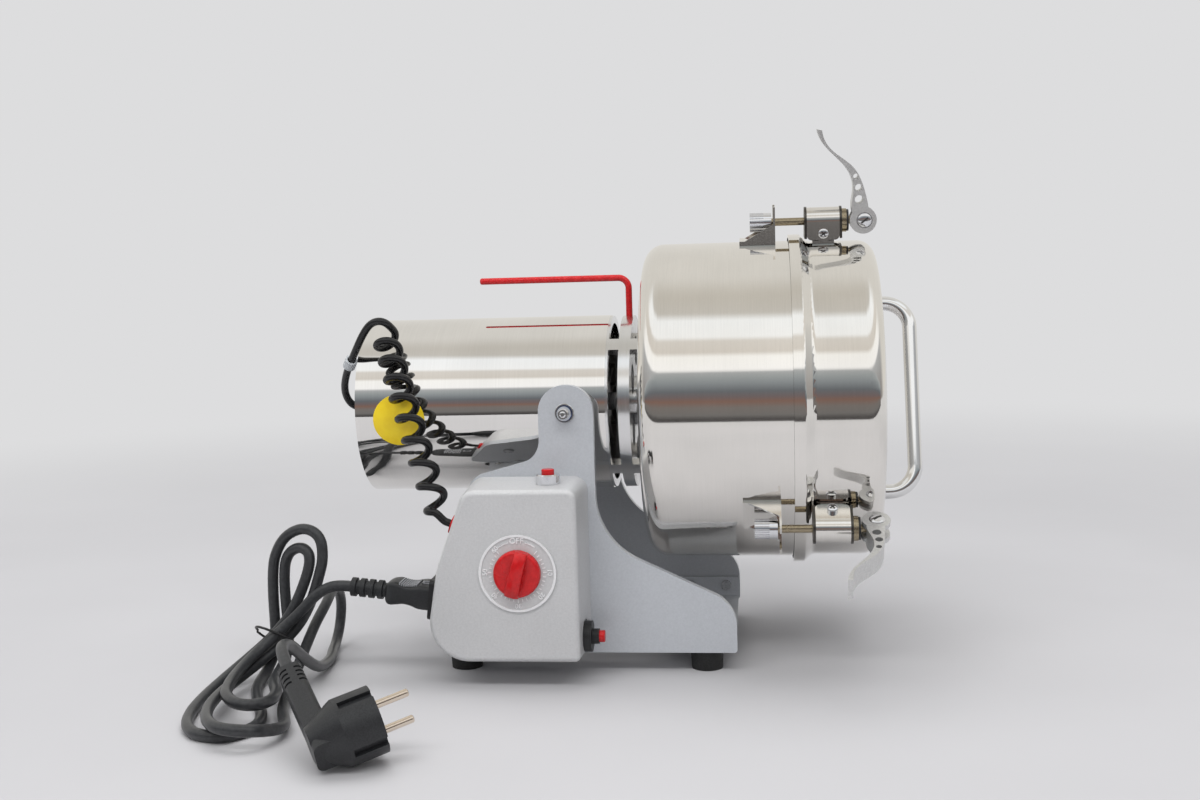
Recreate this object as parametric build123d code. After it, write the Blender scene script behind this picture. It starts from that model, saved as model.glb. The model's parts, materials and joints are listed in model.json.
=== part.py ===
from build123d import *
import os
from math import atan, cos, pi, radians, sin, sqrt, tan

# Electric powder grinder: a grinding bowl and its motor tilt together in a painted stand.
# Lengths are in millimetres. X runs along the drum axis towards the lid, Y away from the control box
# to the rear wall, Z up from the table. The tilt axis crosses the drum axis at X = 0.

# Fits and clearances
seat_gap = 0.05
running_fit = 0.05
free_gap = 0.4

# Tilt axis
pivot_height = 167.4
pivot_shoulder_radius = 4.5
pivot_boss_radius = 13.0
pivot_thread_radius = 3.0
pivot_nut_flats = 10.0
pivot_nut_height = 5.5
pivot_washer_radius = 6.2
pivot_washer_thick = 1.4

# Stand walls, given from the tilt axis and, for heights, from the table
wall_gap = 136.4
wall_thick = 6.0
wall_right = 105.7
column_right = 18.0
column_left = 17.0
column_top = 17.6
shoulder_drop = 28.4
slope_height = 85.6
toe_height = 44.4
shoulder_radius = 15.0
slope_radius = 46.0
toe_radius = 23.0
heel_radius = 2.0
column_radius = 16.8

# Stand floor and feet
foot_height = 13.2
foot_radius = 10.8
foot_right = 86.0
foot_left = 71.4
foot_inset = 8.0
floor_thick = 3.0
floor_flange = 17.0
floor_left = 78.0
window_left = 60.0
window_right = 58.0
window_half = 50.0

# Screws that hold the stand together
screw_radius = 2.0
screw_head_radius = 3.6
screw_head_height = 2.4
screw_bite = 4.0

# Control box, given from the tilt axis and, for heights, from the table
box_top_drop = 40.0
box_right = 13.2
box_depth = 40.0
box_draft = 2.6
box_wall = 2.5
box_top_left = 60.5
box_mid_left = 80.0
box_mid_height = 75.4
box_low_left = 90.0
box_low_height = 15.4
box_round = 27.0
box_bend = 100.0
box_top_round = 12.0
box_right_round = 9.0
box_foot_round = 6.0
box_edge = 3.5
box_post_radius = 4.5

# Timer dial and knob
dial_left = 26.2
dial_centre_height = 73.9
dial_radius = 24.0
dial_rim = 1.5
dial_height = 1.4
dial_face_height = 0.6
knob_radius = 14.6
knob_flange = 4.5
knob_height = 13.0
knob_grip_width = 9.0
knob_pointer_angle = 15.0
timer_shaft_radius = 3.0
timer_size = 38.0
timer_depth = 20.0

# Start switch on top of the box
switch_left = 8.7
switch_collar_radius = 7.6
switch_collar_height = 7.0
switch_seat_drop = 42.4
switch_barrel_radius = 5.8
switch_barrel_length = 16.0
switch_button_radius = 4.0
switch_button_proud = 3.0
switch_travel = 2.5

# Overload breaker on the right of the box
breaker_height = 29.4
breaker_seat = 11.4
breaker_nut_radius = 9.7
breaker_nut_thick = 5.0
breaker_neck_radius = 4.75
breaker_neck_length = 9.3
breaker_body_size = 17.0
breaker_body_length = 26.0
reset_radius = 3.7
reset_proud = 3.6
reset_travel = 3.0

# Power inlet and its connector on the left of the box
inlet_sink = 1.7
inlet_centre_height = 55.4
inlet_tilt = 6.0
inlet_width = 30.0
inlet_height = 25.0
inlet_flange = 2.4
inlet_rim = 3.0
inlet_depth = 14.0
connector_length = 30.0
connector_nose = 8.0
relief_length = 23.0
relief_radius = 6.0
relief_ribs = 4

# Grommet of the curly lead on the left of the box
grommet_below_top = 28.0
grommet_depth = 13.8
grommet_sink = 0.4
grommet_radius = 5.0
grommet_flange = 2.5

# Motor
motor_radius = 58.5
motor_rear = 140.5
motor_front = 23.8
casing_thick = 1.2
end_cap_thick = 3.0
end_cap_inset = 1.0
adapter_length = 24.0
adapter_radius = 58.0
adapter_wall = 5.0
adapter_spigot = 4.0
vent_margin = 1.6
vent_band = 7.5
rib_width = 9.5
hub_wall = 4.0
bearing_length = 9.0
bearing_radius = 13.0
shaft_radius = 6.0
core_rear = 96.0
core_front = 34.0
core_radius = 29.0
air_gap = 1.0
winding_length = 10.0
winding_wall = 12.0
commutator_radius = 17.0
commutator_length = 16.0
commutator_rear = 125.0
brush_size = 8.0
brush_length = 20.0
fan_radius = 48.0
fan_rear = 8.0
fan_length = 16.0
fan_hub_radius = 14.0
fan_blade_count = 9
fan_blade_thick = 1.6
fan_disc = 2.0

# Red bent bar above the motor
bar_radius = 2.2
bar_end = 66.0
bar_height = 83.5
bar_bend = 7.0
bar_sink = 3.0

# Bowl and lid
bowl_radius = 105.0
sheet = 2.0
bowl_corner = 13.0
bowl_mouth = 149.0
lid_overlap = 6.4
lid_rim_step = 4.0
lid_rim_past = 0.6
lid_neck_past = 6.0
lid_step = 1.0
lid_depth = 49.2
lid_corner = 11.0
gasket_thick = 2.0
gasket_width = 3.0

# Lid handle
handle_radius = 4.75
handle_half = 64.0
handle_reach = 29.7
handle_bend = 17.0
handle_angle = 17.0

# Blades
blade_seat = 58.0
blade_shoulder_radius = 9.0
blade_thick = 3.0
blade_width = 26.0
lower_blade_gap = 11.0
upper_blade_gap = 27.0
blade_spacing = 14.0
blade_tip_rise = 16.0
blade_nut_flats = 19.0
blade_nut_height = 8.0

# Clamps, given from the mouth and the wall of the bowl
clamp_phase = 7.0
clamp_count = 3
rod_off = 12.9
rod_radius = 2.5
catch_back = 38.0
catch_behind = 14.8
catch_sheet = 1.3
catch_width = 23.0
catch_rise = 23.5
nut_radius = 6.15
nut_length = 14.0
nut_stand_off = 1.0
nut_end_wall = 2.0
nut_flutes = 24
strap_past = 5.6
strap_length = 20.9
strap_radius = 8.8
strap_sheet = 1.5
strap_lift = 2.2
strap_round = 3.0
strap_end_lift = 3.2
washer_thick = 1.6
barrel_radius = 3.9
swing_drop = 7.4
swing_pin_radius = 1.7
swing_head_radius = 3.35
swing_head_height = 1.8
ear_radius = 3.0
ear_foot = 14.0
bush_length = 3.0
bush_radius = 7.6
spacer_length = 1.4
spacer_radius = 7.0
lever_slack = 0.6
lever_pin_radius = 5.0
lever_head_radius = 8.6
lever_cam = 0.8
lever_width = 13.0
lever_slot = 6.4
lever_slot_rise = 8.0
lever_length = 58.6
lever_leans = (0.0, -14.0, 0.0)
lever_opens = (0.0, 8.0, 0.0)

# Cords
cord_radius = 3.5
lead_radius = 2.5
curl_radius = 6.2
curl_turns = 8.75
gland_radius = 5.0
gland_proud = 1.5
gland_side = 18.0
tie_radius = 0.8
clip_wall = 1.2
clip_length = 7.0

# Plug
plug_radius = 18.5
plug_length = 31.0
plug_cone = 17.0
plug_cone_radius = 9.5
plug_groove_width = 5.0
plug_groove_depth = 2.5
plug_arm = 57.6
plug_arm_past = 12.0
plug_arm_width = 18.0
plug_arm_thick = 13.0
plug_arm_round = 4.0
plug_slots = 4
plug_slot_start = 3.5
plug_slot_pitch = 3.7
plug_slot_width = 1.4
plug_slot_length = 4.4
plug_slot_depth = 3.0
pin_radius = 2.2
pin_length = 19.0
pin_spacing = 19.0

# Derived places
wall_inner = wall_gap / 2
wall_outer = wall_inner + wall_thick
box_front = wall_outer + box_depth
box_middle = wall_outer + box_depth / 2
casing_inner = motor_radius - casing_thick
bowl_back = motor_front + adapter_length
slope_drop = pivot_height - slope_height
toe_drop = pivot_height - toe_height
box_mid_drop = pivot_height - box_mid_height
box_low_drop = pivot_height - box_low_height
lid_start = bowl_mouth - lid_overlap
lid_rim_end = bowl_mouth + lid_rim_past
lid_neck_end = bowl_mouth + lid_neck_past
lid_end = bowl_mouth + lid_depth
lid_rim_radius = bowl_radius + lid_rim_step
lid_radius = bowl_radius - lid_step
lower_blade_radius = bowl_radius - lower_blade_gap
upper_blade_radius = bowl_radius - upper_blade_gap
rod_orbit = bowl_radius + rod_off
catch_start = bowl_mouth - catch_back
catch_face = bowl_mouth - catch_behind
catch_top = bowl_radius + catch_rise
strap_start = bowl_mouth + strap_past
strap_end = strap_start + strap_length
swing_radius = rod_orbit - swing_drop
swing_middle = (strap_start + strap_end) / 2
lever_face = strap_end + washer_thick + bush_length + spacer_length
lever_pin = lever_face + lever_slack + lever_head_radius + lever_cam

shapes = {}


def along_x(radius, start, end, y=0.0, z=0.0):
    """A cylinder parallel to X between two X places."""
    low, high = min(start, end), max(start, end)
    base = Plane(origin=(low, y, z), x_dir=(0, 1, 0), z_dir=(1, 0, 0))
    return extrude(base * Circle(radius), high - low)


def along_y(radius, start, end, x=0.0, z=0.0):
    """A cylinder parallel to Y between two Y places."""
    low, high = min(start, end), max(start, end)
    base = Plane(origin=(x, low, z), x_dir=(1, 0, 0), z_dir=(0, 1, 0))
    return extrude(base * Circle(radius), high - low)


def along_z(radius, start, end, x=0.0, y=0.0):
    """A cylinder parallel to Z between two heights."""
    low, high = min(start, end), max(start, end)
    return extrude(Plane(origin=(x, y, low)) * Circle(radius), high - low)


def block(x0, x1, y0, y1, z0, z1):
    """A box between two corners."""
    return Pos((x0 + x1) / 2, (y0 + y1) / 2, (z0 + z1) / 2) * Box(x1 - x0, y1 - y0, z1 - z0)


def spun(points, rounds=None):
    """A body turned about X from its half section, given as (x, radius) corners.

    rounds maps a corner's index to its fillet radius.
    """
    face = make_face(Polyline([(x, 0, r) for x, r in points], close=True))
    for index, radius in (rounds or {}).items():
        x, r = points[index]
        corner = face.vertices().sort_by_distance((x, 0, r))[0]
        face = fillet(corner, radius)
    return revolve(face, Axis.X)


def profile_xz(points, rounds, y0, y1):
    """A plate in the XZ plane from y0 to y1, with a fillet radius for each corner."""
    face = make_face(Polyline([(x, 0, z) for x, z in points], close=True))
    for (x, z), radius in zip(points, rounds):
        if radius > 0:
            face = fillet(face.vertices().sort_by_distance((x, 0, z))[0], radius)
    return extrude(Pos(0, y0, 0) * face, y1 - y0, dir=(0, 1, 0))


def biarc(p0, t0, p1, t1):
    """Two tangent arcs that leave p0 along t0 and reach p1 along t1."""
    chord = p1 - p0
    total = t0 + t1
    slack = 2 * (1 - t0.dot(t1))
    reach = chord.dot(total)
    if slack < 1e-6:
        step = chord.dot(chord) / (2 * reach)
    else:
        step = (sqrt(reach ** 2 + slack * chord.dot(chord)) - reach) / slack
    q0 = p0 + t0 * step
    q1 = p1 - t1 * step
    joint = (q0 + q1) * 0.5
    return [tangent_run(p0, joint, t0), tangent_run(joint, p1, (q1 - q0).normalized())]


def tangent_run(start, end, tangent):
    """An arc from start along tangent to end, or a line where they are in line."""
    if (end - start).normalized().cross(tangent).length < 1e-5:
        return Line(start, end)
    return TangentArc(start, end, tangent=tangent)


def tube(name, edges, radius):
    """A round bar swept along joined edges, with its volume set against section times length."""
    path = Wire(edges)
    section = Plane(origin=path @ 0, z_dir=path % 0) * Circle(radius)
    bar = sweep(section, path=path)
    share = bar.volume / (pi * radius ** 2 * path.length)
    print(name, "length", round(path.length, 1), "volume share", round(share, 4))
    return bar


def self_gap(name, edges, radius, skip):
    """Print the least gap between stretches of one tube that are over skip mm apart along it."""
    path = Wire(edges)
    count = int(path.length / 1.5)
    points = [path @ (i / count) for i in range(count + 1)]
    apart = int(skip / path.length * count)
    least, place = min(
        ((points[i] - points[j]).length, tuple(points[i]))
        for i in range(0, count + 1)
        for j in range(i + apart, count + 1)
    )
    print(name, "least gap to itself", round(least - 2 * radius, 2), "at", [round(v) for v in place])
    print(name, "lowest middle", round(min(point.Z for point in points), 2))


def cord_run(name, points):
    """A free stretch: straight runs joined by tangent arcs as large as the runs allow."""
    corners = [Vector(*p) for p in points]
    radii = []
    for before, here, after in zip(corners, corners[1:], corners[2:]):
        turn = radians((here - before).get_angle(after - here))
        shorter = min((here - before).length, (after - here).length)
        radii.append(0.45 * shorter / tan(turn / 2))
    print(name, "bend radii", [round(r, 1) for r in radii])
    return FilletPolyline(*corners, radius=radii).edges()


def raised(shape):
    """Lift a piece drawn about the drum axis to the height of the tilt axis."""
    return Pos(0, 0, pivot_height) * shape


# Stand walls: cast plates with a column that carries the tilt axis
box_outline = [
    (-box_top_left, -box_top_drop),
    (box_right, -box_top_drop),
    (box_right, -box_low_drop),
    (-box_low_left, -box_low_drop),
    (-box_mid_left, -box_mid_drop),
]
high_edge = Vector(box_mid_left - box_top_left, box_mid_drop - box_top_drop, 0)
low_edge = Vector(box_low_left - box_mid_left, box_low_drop - box_mid_drop, 0)
bend_turn = radians(high_edge.get_angle(low_edge))
box_bend_fit = min(box_bend, 0.6 * high_edge.length / tan(bend_turn / 2))
box_rounds = [box_top_round, box_right_round, box_foot_round, box_round, box_bend_fit]
wall_low = foot_height - pivot_height
wall_outline = [
    (-column_left, column_top),
    (column_right, column_top),
    (column_right, -slope_drop),
    (wall_right, -toe_drop),
    (wall_right, wall_low),
    (-box_low_left, wall_low),
    (-box_mid_left, -box_mid_drop),
    (-box_top_left, -box_top_drop),
    (-column_left, -shoulder_drop),
]
wall_rounds = [
    column_radius,
    column_radius,
    slope_radius,
    toe_radius,
    heel_radius,
    box_round,
    box_bend_fit,
    box_top_round,
    shoulder_radius,
]
post_places = [
    (-box_top_left + 14.0, -box_top_drop - 14.0),
    (box_right - 12.0, -box_top_drop - 26.0),
    (box_right - 12.0, -box_low_drop + 42.0),
    (-box_low_left + 40.0, -box_low_drop + 30.0),
]
flange_screws_x = [-floor_left + 9.0, (window_right + wall_right) / 2 - 12.0, wall_right - 10.0]
flange_screw_height = foot_height + floor_thick + 8.0


def wall(side):
    """One side wall: side is -1 for the wall with the control box and +1 for the other."""
    y0, y1 = sorted((side * wall_inner, side * wall_outer))
    plate = raised(profile_xz(wall_outline, wall_rounds, y0, y1))
    plate -= along_y(pivot_shoulder_radius + running_fit, y0 - 1, y1 + 1, 0, pivot_height)
    for x in flange_screws_x:
        start = side * (wall_inner - 1)
        end = side * (wall_inner + screw_bite + seat_gap)
        plate -= along_y(screw_radius + seat_gap, start, end, x, flange_screw_height)
    return plate


front_wall = wall(-1)
for x, z in post_places:
    front_wall -= along_y(screw_radius + seat_gap, -wall_outer - 1, -wall_inner + 1, x, pivot_height + z)
shapes["front_side_wall"] = front_wall
shapes["rear_side_wall"] = wall(1)

# Floor frame between the walls, open in the middle where the motor swings through
floor_low = foot_height
floor_high = foot_height + floor_thick
floor_y = wall_inner - seat_gap
floor = block(-floor_left, wall_right - 1, -floor_y, floor_y, floor_low, floor_high)
floor -= block(-window_left, window_right, -window_half, window_half, floor_low - 1, floor_high + 1)
for side in (-1, 1):
    y0, y1 = sorted((side * (floor_y - floor_thick), side * floor_y))
    floor += block(-floor_left, wall_right - 1, y0, y1, floor_low, floor_low + floor_flange)
    for x in flange_screws_x:
        floor -= along_y(screw_radius + seat_gap, y0 - 1, y1 + 1, x, flange_screw_height)
foot_places = [
    (x, side * (wall_inner - foot_inset)) for x in (-foot_left, foot_right) for side in (-1, 1)
]
for x, y in foot_places:
    floor -= along_z(screw_radius + seat_gap, floor_low - 1, floor_high + 1, x, y)
shapes["base_floor"] = floor

# Rubber feet with a sunk screw each
foot_floor = 5.0
feet = []
for x, y in foot_places:
    foot = Pos(x, y, foot_height / 2) * Cone(foot_radius - 0.8, foot_radius, foot_height)
    foot -= along_z(screw_head_radius + free_gap, -1, foot_height - foot_floor, x, y)
    foot -= along_z(screw_radius + seat_gap, 0, foot_height + 1, x, y)
    feet.append(foot)
shapes["rubber_feet"] = Compound(children=feet)

# One kind of screw for the floor flanges, the feet and the control box
screws = []
for side in (-1, 1):
    face = side * (floor_y - floor_thick)
    for x in flange_screws_x:
        shank = along_y(screw_radius, face, side * (wall_inner + screw_bite), x, flange_screw_height)
        head_end = face - side * screw_head_height
        screws.append(shank + along_y(screw_head_radius, face, head_end, x, flange_screw_height))
for x, y in foot_places:
    seat = foot_height - foot_floor
    shank = along_z(screw_radius, seat, floor_high + 2.0, x, y)
    screws.append(shank + along_z(screw_head_radius, seat - screw_head_height, seat, x, y))
for x, z in post_places:
    shank = along_y(screw_radius, -wall_inner, -wall_outer - screw_bite, x, pivot_height + z)
    head = along_y(screw_head_radius, -wall_inner, -wall_inner + screw_head_height, x, pivot_height + z)
    screws.append(shank + head)
shapes["stand_screws"] = Compound(children=screws)


# Control box: a drafted cover, open at the back against the wall
def box_section(inset, y):
    """The box outline at one depth, drawn in by inset."""
    face = make_face(Polyline([(x, 0, z) for x, z in box_outline], close=True))
    for (x, z), radius in zip(box_outline, box_rounds):
        face = fillet(face.vertices().sort_by_distance((x, 0, z))[0], radius)
    if inset > 0:
        face = offset(face, -inset)
    return Pos(0, y, pivot_height) * face


box = loft([box_section(0, -wall_outer), box_section(box_draft, -box_front)], ruled=True)
box = fillet(box.faces().sort_by(Axis.Y)[0].edges(), box_edge)
hollow = [box_section(box_wall, -wall_outer), box_section(box_wall + box_draft, -box_front + box_wall)]
box -= loft(hollow, ruled=True)
dial_x = -dial_left
dial_z = dial_centre_height
box += along_y(dial_radius, -box_front - dial_height, -box_front, dial_x, dial_z)
box -= along_y(dial_radius - dial_rim, -box_front - 3, -box_front - dial_face_height, dial_x, dial_z)
box -= along_y(timer_shaft_radius + free_gap, -box_front - 3, -box_front + box_wall + 1, dial_x, dial_z)
post_front = -box_front + box_wall / 2
for x, z in post_places:
    post = along_y(box_post_radius, -wall_outer, post_front, x, pivot_height + z)
    thread_end = -wall_outer - screw_bite - seat_gap
    post -= along_y(screw_radius + seat_gap, -wall_outer, thread_end, x, pivot_height + z)
    box += post

# Start switch: chromed collar and barrel through the top of the box
switch_x = -switch_left
switch_y = -box_middle
switch_seat = pivot_height - switch_seat_drop
switch_top = switch_seat + switch_collar_height
box -= along_z(switch_collar_radius + seat_gap, switch_seat, switch_seat + 5, switch_x, switch_y)
box -= along_z(switch_barrel_radius + seat_gap, switch_seat - 8, switch_seat + 1, switch_x, switch_y)
switch = along_z(switch_collar_radius, switch_seat, switch_top, switch_x, switch_y)
switch = chamfer(switch.edges().sort_by(Axis.Z)[-1], 0.8)
switch += along_z(switch_barrel_radius, switch_seat - switch_barrel_length, switch_seat, switch_x, switch_y)
button_low = switch_top - 7.0
button_well = button_low - switch_travel - free_gap
switch -= along_z(switch_button_radius + running_fit, button_well, switch_top + 1, switch_x, switch_y)
shapes["start_switch"] = switch
button = along_z(switch_button_radius, button_low, switch_top + switch_button_proud, switch_x, switch_y)
shapes["start_button"] = fillet(button.edges().sort_by(Axis.Z)[-1], 0.8)

# Overload breaker: body inside the box, ring nut and red reset button outside
breaker_y = -box_middle
breaker_z = breaker_height
box -= along_x(breaker_nut_radius + 1, breaker_seat, breaker_seat + 5, breaker_y, breaker_z)
box -= along_x(breaker_neck_radius + seat_gap, breaker_seat - 6, breaker_seat + 1, breaker_y, breaker_z)
breaker_inner = breaker_seat - box_wall
neck_end = breaker_seat + breaker_neck_length
breaker = along_x(breaker_neck_radius, breaker_inner, neck_end, breaker_y, breaker_z)
half = breaker_body_size / 2
breaker_back = breaker_inner - breaker_body_length
breaker += block(
    breaker_back, breaker_inner, breaker_y - half, breaker_y + half, breaker_z - half, breaker_z + half
)
reset_low = neck_end - 6.0
reset_well = reset_low - reset_travel - free_gap
breaker -= along_x(reset_radius + running_fit, reset_well, neck_end + 1, breaker_y, breaker_z)
box -= block(
    breaker_back - seat_gap, breaker_inner, breaker_y - half - seat_gap, breaker_y + half + seat_gap,
    breaker_z - half - seat_gap, breaker_z + half + seat_gap,
)
shapes["overload_breaker"] = breaker
ring = along_x(breaker_nut_radius, breaker_seat, breaker_seat + breaker_nut_thick, breaker_y, breaker_z)
ring -= along_x(breaker_neck_radius + seat_gap, breaker_seat - 1, breaker_seat + 9, breaker_y, breaker_z)
shapes["breaker_nut"] = ring
reset = along_x(reset_radius, reset_low, neck_end + reset_proud, breaker_y, breaker_z)
shapes["reset_button"] = fillet(reset.edges().sort_by(Axis.X)[-1], 0.8)

# Power inlet: a socket let into the sloping left side, square to it
inlet_out = Vector(-cos(radians(inlet_tilt)), 0, sin(radians(inlet_tilt)))
low_slope = (box_low_left - box_mid_left) / (box_low_drop - box_mid_drop)
inlet_left = box_mid_left + (box_mid_height - inlet_centre_height) * low_slope - inlet_sink
inlet_seat = Vector(-inlet_left, -box_middle, inlet_centre_height)


def inlet_block(width, height, start, end, corner):
    """A rounded bar square to the box side, from start to end along the inlet's axis."""
    base = Plane(origin=inlet_seat + inlet_out * start, x_dir=(0, 1, 0), z_dir=inlet_out)
    return extrude(base * RectangleRounded(width, height, corner), end - start)


inlet = inlet_block(inlet_width, inlet_height, -2.0, inlet_flange, 3.0)
inlet += inlet_block(inlet_width - 2 * inlet_rim, inlet_height - 2 * inlet_rim, -inlet_depth, -2.0, 2.0)
nose_width = inlet_width - 4 * inlet_rim + 4.0
nose_height = inlet_height - 4 * inlet_rim + 4.0
nose_room = 2 * free_gap
inlet -= inlet_block(
    nose_width + nose_room, nose_height + nose_room, -connector_nose - free_gap, inlet_flange + 1, 2.0
)
box -= inlet_block(inlet_width + 2 * seat_gap, inlet_height + 2 * seat_gap, -2.0 - seat_gap, 12.0, 3.0)
barrel_width = inlet_width - 2 * inlet_rim
barrel_height = inlet_height - 2 * inlet_rim
box -= inlet_block(barrel_width + 2 * seat_gap, barrel_height + 2 * seat_gap, -inlet_depth, 12.0, 2.0)
shapes["power_inlet"] = inlet

# Timer: clockwork inside the box, shaft and red knob
timer_face = -box_front + box_wall
timer = block(
    dial_x - timer_size / 2, dial_x + timer_size / 2, timer_face, timer_face + timer_depth,
    dial_z - timer_size / 2, dial_z + timer_size / 2,
)
timer_back = timer_face + timer_depth
timer -= along_y(timer_shaft_radius + running_fit, timer_face - 1, timer_back - 4, dial_x, dial_z)
shapes["timer_movement"] = timer
knob_back = -box_front - dial_face_height - free_gap
knob_front = knob_back - knob_height
shaft_tip = knob_back - knob_height + 4.0
shapes["timer_shaft"] = along_y(timer_shaft_radius, shaft_tip, timer_face + timer_depth - 5, dial_x, dial_z)
knob = along_y(knob_radius, knob_back - knob_flange, knob_back, 0, 0)
grip = Pos(0, (knob_front + knob_back - knob_flange) / 2, 0) * Box(
    knob_grip_width, knob_height - knob_flange, 2 * knob_radius
)
grip &= along_y(knob_radius, knob_front, knob_back, 0, 0)
knob += fillet(grip.faces().sort_by(Axis.Y)[0].edges(), 1.5)
knob -= along_y(timer_shaft_radius + seat_gap / 2, shaft_tip, knob_back + 1, 0, 0)
shapes["timer_knob"] = Pos(dial_x, 0, dial_z) * Rot(0, knob_pointer_angle, 0) * knob

# Grommet where the curly lead enters the box
high_slope = (box_mid_left - box_top_left) / (box_mid_drop - box_top_drop)
grommet_tilt = atan(high_slope)
grommet_out = Vector(-cos(grommet_tilt), 0, sin(grommet_tilt))
grommet_left = box_top_left + grommet_below_top * high_slope
grommet_inset = box_draft * grommet_depth / box_depth + grommet_sink
grommet_height = pivot_height - box_top_drop - grommet_below_top
grommet_seat = Vector(-grommet_left, -wall_outer - grommet_depth, grommet_height)
grommet_seat -= grommet_out * grommet_inset


def grommet_bar(radius, start, end):
    """A round bar square to the box side at the grommet."""
    foot = Plane(origin=grommet_seat + grommet_out * start, z_dir=grommet_out)
    return extrude(foot * Circle(radius), end - start)


box -= grommet_bar(grommet_radius - 1.0 + seat_gap, -8.0, 8.0)
box -= grommet_bar(grommet_radius + 1.0 + seat_gap, 0.0, 8.0)
grommet = grommet_bar(grommet_radius + 1.0, 0.0, grommet_flange)
shapes["lead_grommet"] = grommet + grommet_bar(grommet_radius - 1.0, -5.0, 0.0)
shapes["control_box"] = box

# Motor casing: a polished tube with a hole for each tilt boss screw
casing = along_x(motor_radius, -motor_rear, motor_front)
casing -= along_x(casing_inner, -motor_rear - 1, motor_front + 1)
casing -= along_y(pivot_shoulder_radius + seat_gap, -motor_radius - 1, motor_radius + 1)
shapes["motor_casing"] = raised(casing)

# Rear end cap with its bearing seat, air slots and lead hole
cap_rear = -motor_rear + end_cap_inset
cap_front = cap_rear + end_cap_thick
bearing_rear = cap_front
cap = along_x(casing_inner - seat_gap, cap_rear, cap_front)
cap += along_x(bearing_radius + hub_wall, cap_front, bearing_rear + bearing_length)
cap -= along_x(bearing_radius + seat_gap, bearing_rear, bearing_rear + bearing_length + 1)
slot_ring = (bearing_radius + hub_wall + casing_inner) / 2 + 6.0
for index in range(10):
    if index not in (4, 5, 6):
        slot = Rot(18 + 36 * index, 0, 0) * Pos((cap_rear + cap_front) / 2, 0, slot_ring) * Box(9, 5, 20)
        cap -= slot
cap -= along_x(gland_radius - 1.0 + seat_gap, cap_rear - 1, cap_front + 1, -gland_side, 0)
shapes["motor_rear_cap"] = raised(cap)
gland = along_x(gland_radius - 1.0, cap_rear, cap_front + 1.0, -gland_side, 0)
gland += along_x(gland_radius, cap_rear - gland_proud - end_cap_inset, cap_rear, -gland_side, 0)
shapes["lead_gland"] = raised(gland)

# Vented adapter between motor and bowl, with the front bearing seat
adapter_end = bowl_back - seat_gap
adapter_inner = adapter_radius - adapter_wall
hub_start = motor_front + 3.0
adapter = along_x(adapter_radius, motor_front, adapter_end)
adapter += along_x(casing_inner - seat_gap, motor_front - adapter_spigot, motor_front)
adapter -= along_x(adapter_inner, motor_front - adapter_spigot - 1, adapter_end + 1)
web_start = motor_front + (adapter_length - vent_band) / 2
adapter += along_x(adapter_inner + 1, web_start, web_start + vent_band)
adapter += along_x(bearing_radius + hub_wall, hub_start, adapter_end - 2.0)
adapter -= along_x(bearing_radius + seat_gap, hub_start - 1, hub_start + bearing_length)
adapter -= along_x(shaft_radius + 1.0, hub_start, adapter_end + 1)
for index in range(6):
    adapter -= Rot(60 * index, 0, 0) * along_x(10.0, web_start - 1, web_start + vent_band + 1, 0, 34.0)
vent_rows = [
    (motor_front + vent_margin, web_start),
    (web_start + vent_band, adapter_end - vent_margin),
]
for start, end in vent_rows:
    row = along_x(adapter_radius + 1, start, end) - along_x(adapter_inner - 0.5, start - 1, end + 1)
    for angle in (45, 135):
        row -= Rot(angle, 0, 0) * block(start - 1, end + 1, -rib_width / 2, rib_width / 2, -80, 80)
    adapter -= row
bar_x = web_start + vent_band / 2
bar_foot = adapter_radius - bar_sink
adapter -= along_z(bar_radius + seat_gap, bar_foot, adapter_radius + 2, bar_x, 0)
shapes["adapter_ring"] = raised(adapter)

# Red bent bar that the operator tilts the machine by
bar_path = FilletPolyline(
    (bar_x, 0, bar_foot), (bar_x, 0, bar_height), (-bar_end, 0, bar_height), radius=bar_bend
).edges()
bar = tube("tilt_bar", bar_path, bar_radius)
shapes["tilt_bar"] = raised(fillet(bar.edges().sort_by(Axis.X)[0], bar_radius * 0.6))

# Tilt studs: a boss on each flank of the casing and a shouldered stud through the wall
bosses, studs, nuts = [], [], []
boss_end = wall_inner - free_gap
stud_root = motor_radius - casing_thick - 2.0
nut_seat = wall_outer + running_fit
for side in (-1, 1):
    boss = along_y(pivot_boss_radius, side * (motor_radius - 4), side * boss_end)
    boss -= along_x(motor_radius + seat_gap, -pivot_boss_radius - 1, pivot_boss_radius + 1)
    boss -= along_y(pivot_shoulder_radius + seat_gap, side * (motor_radius - 5), side * (boss_end + 1))
    bosses.append(boss)
    stud = along_y(pivot_shoulder_radius, side * stud_root, side * nut_seat)
    stud += along_y(pivot_boss_radius - 4.0, side * (stud_root - 2.0), side * stud_root)
    nut_end = nut_seat + pivot_washer_thick + pivot_nut_height
    stud += along_y(pivot_thread_radius, side * nut_seat, side * (nut_end + 2.0))
    studs.append(stud)
    washer_face = side * (nut_seat + pivot_washer_thick)
    hexagon = Plane(origin=(0, washer_face, 0), x_dir=(1, 0, 0), z_dir=(0, side, 0))
    nut = extrude(hexagon * RegularPolygon(pivot_nut_flats / 2, 6, major_radius=False), pivot_nut_height)
    nut += along_y(pivot_washer_radius, side * nut_seat, side * (nut_seat + pivot_washer_thick))
    nut -= along_y(pivot_thread_radius + seat_gap, side * nut_seat, side * (nut_end + 1))
    nuts.append(nut)
shapes["pivot_bosses"] = raised(Compound(children=bosses))
shapes["pivot_studs"] = raised(Compound(children=studs))
shapes["pivot_nuts"] = raised(Compound(children=nuts))

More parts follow.
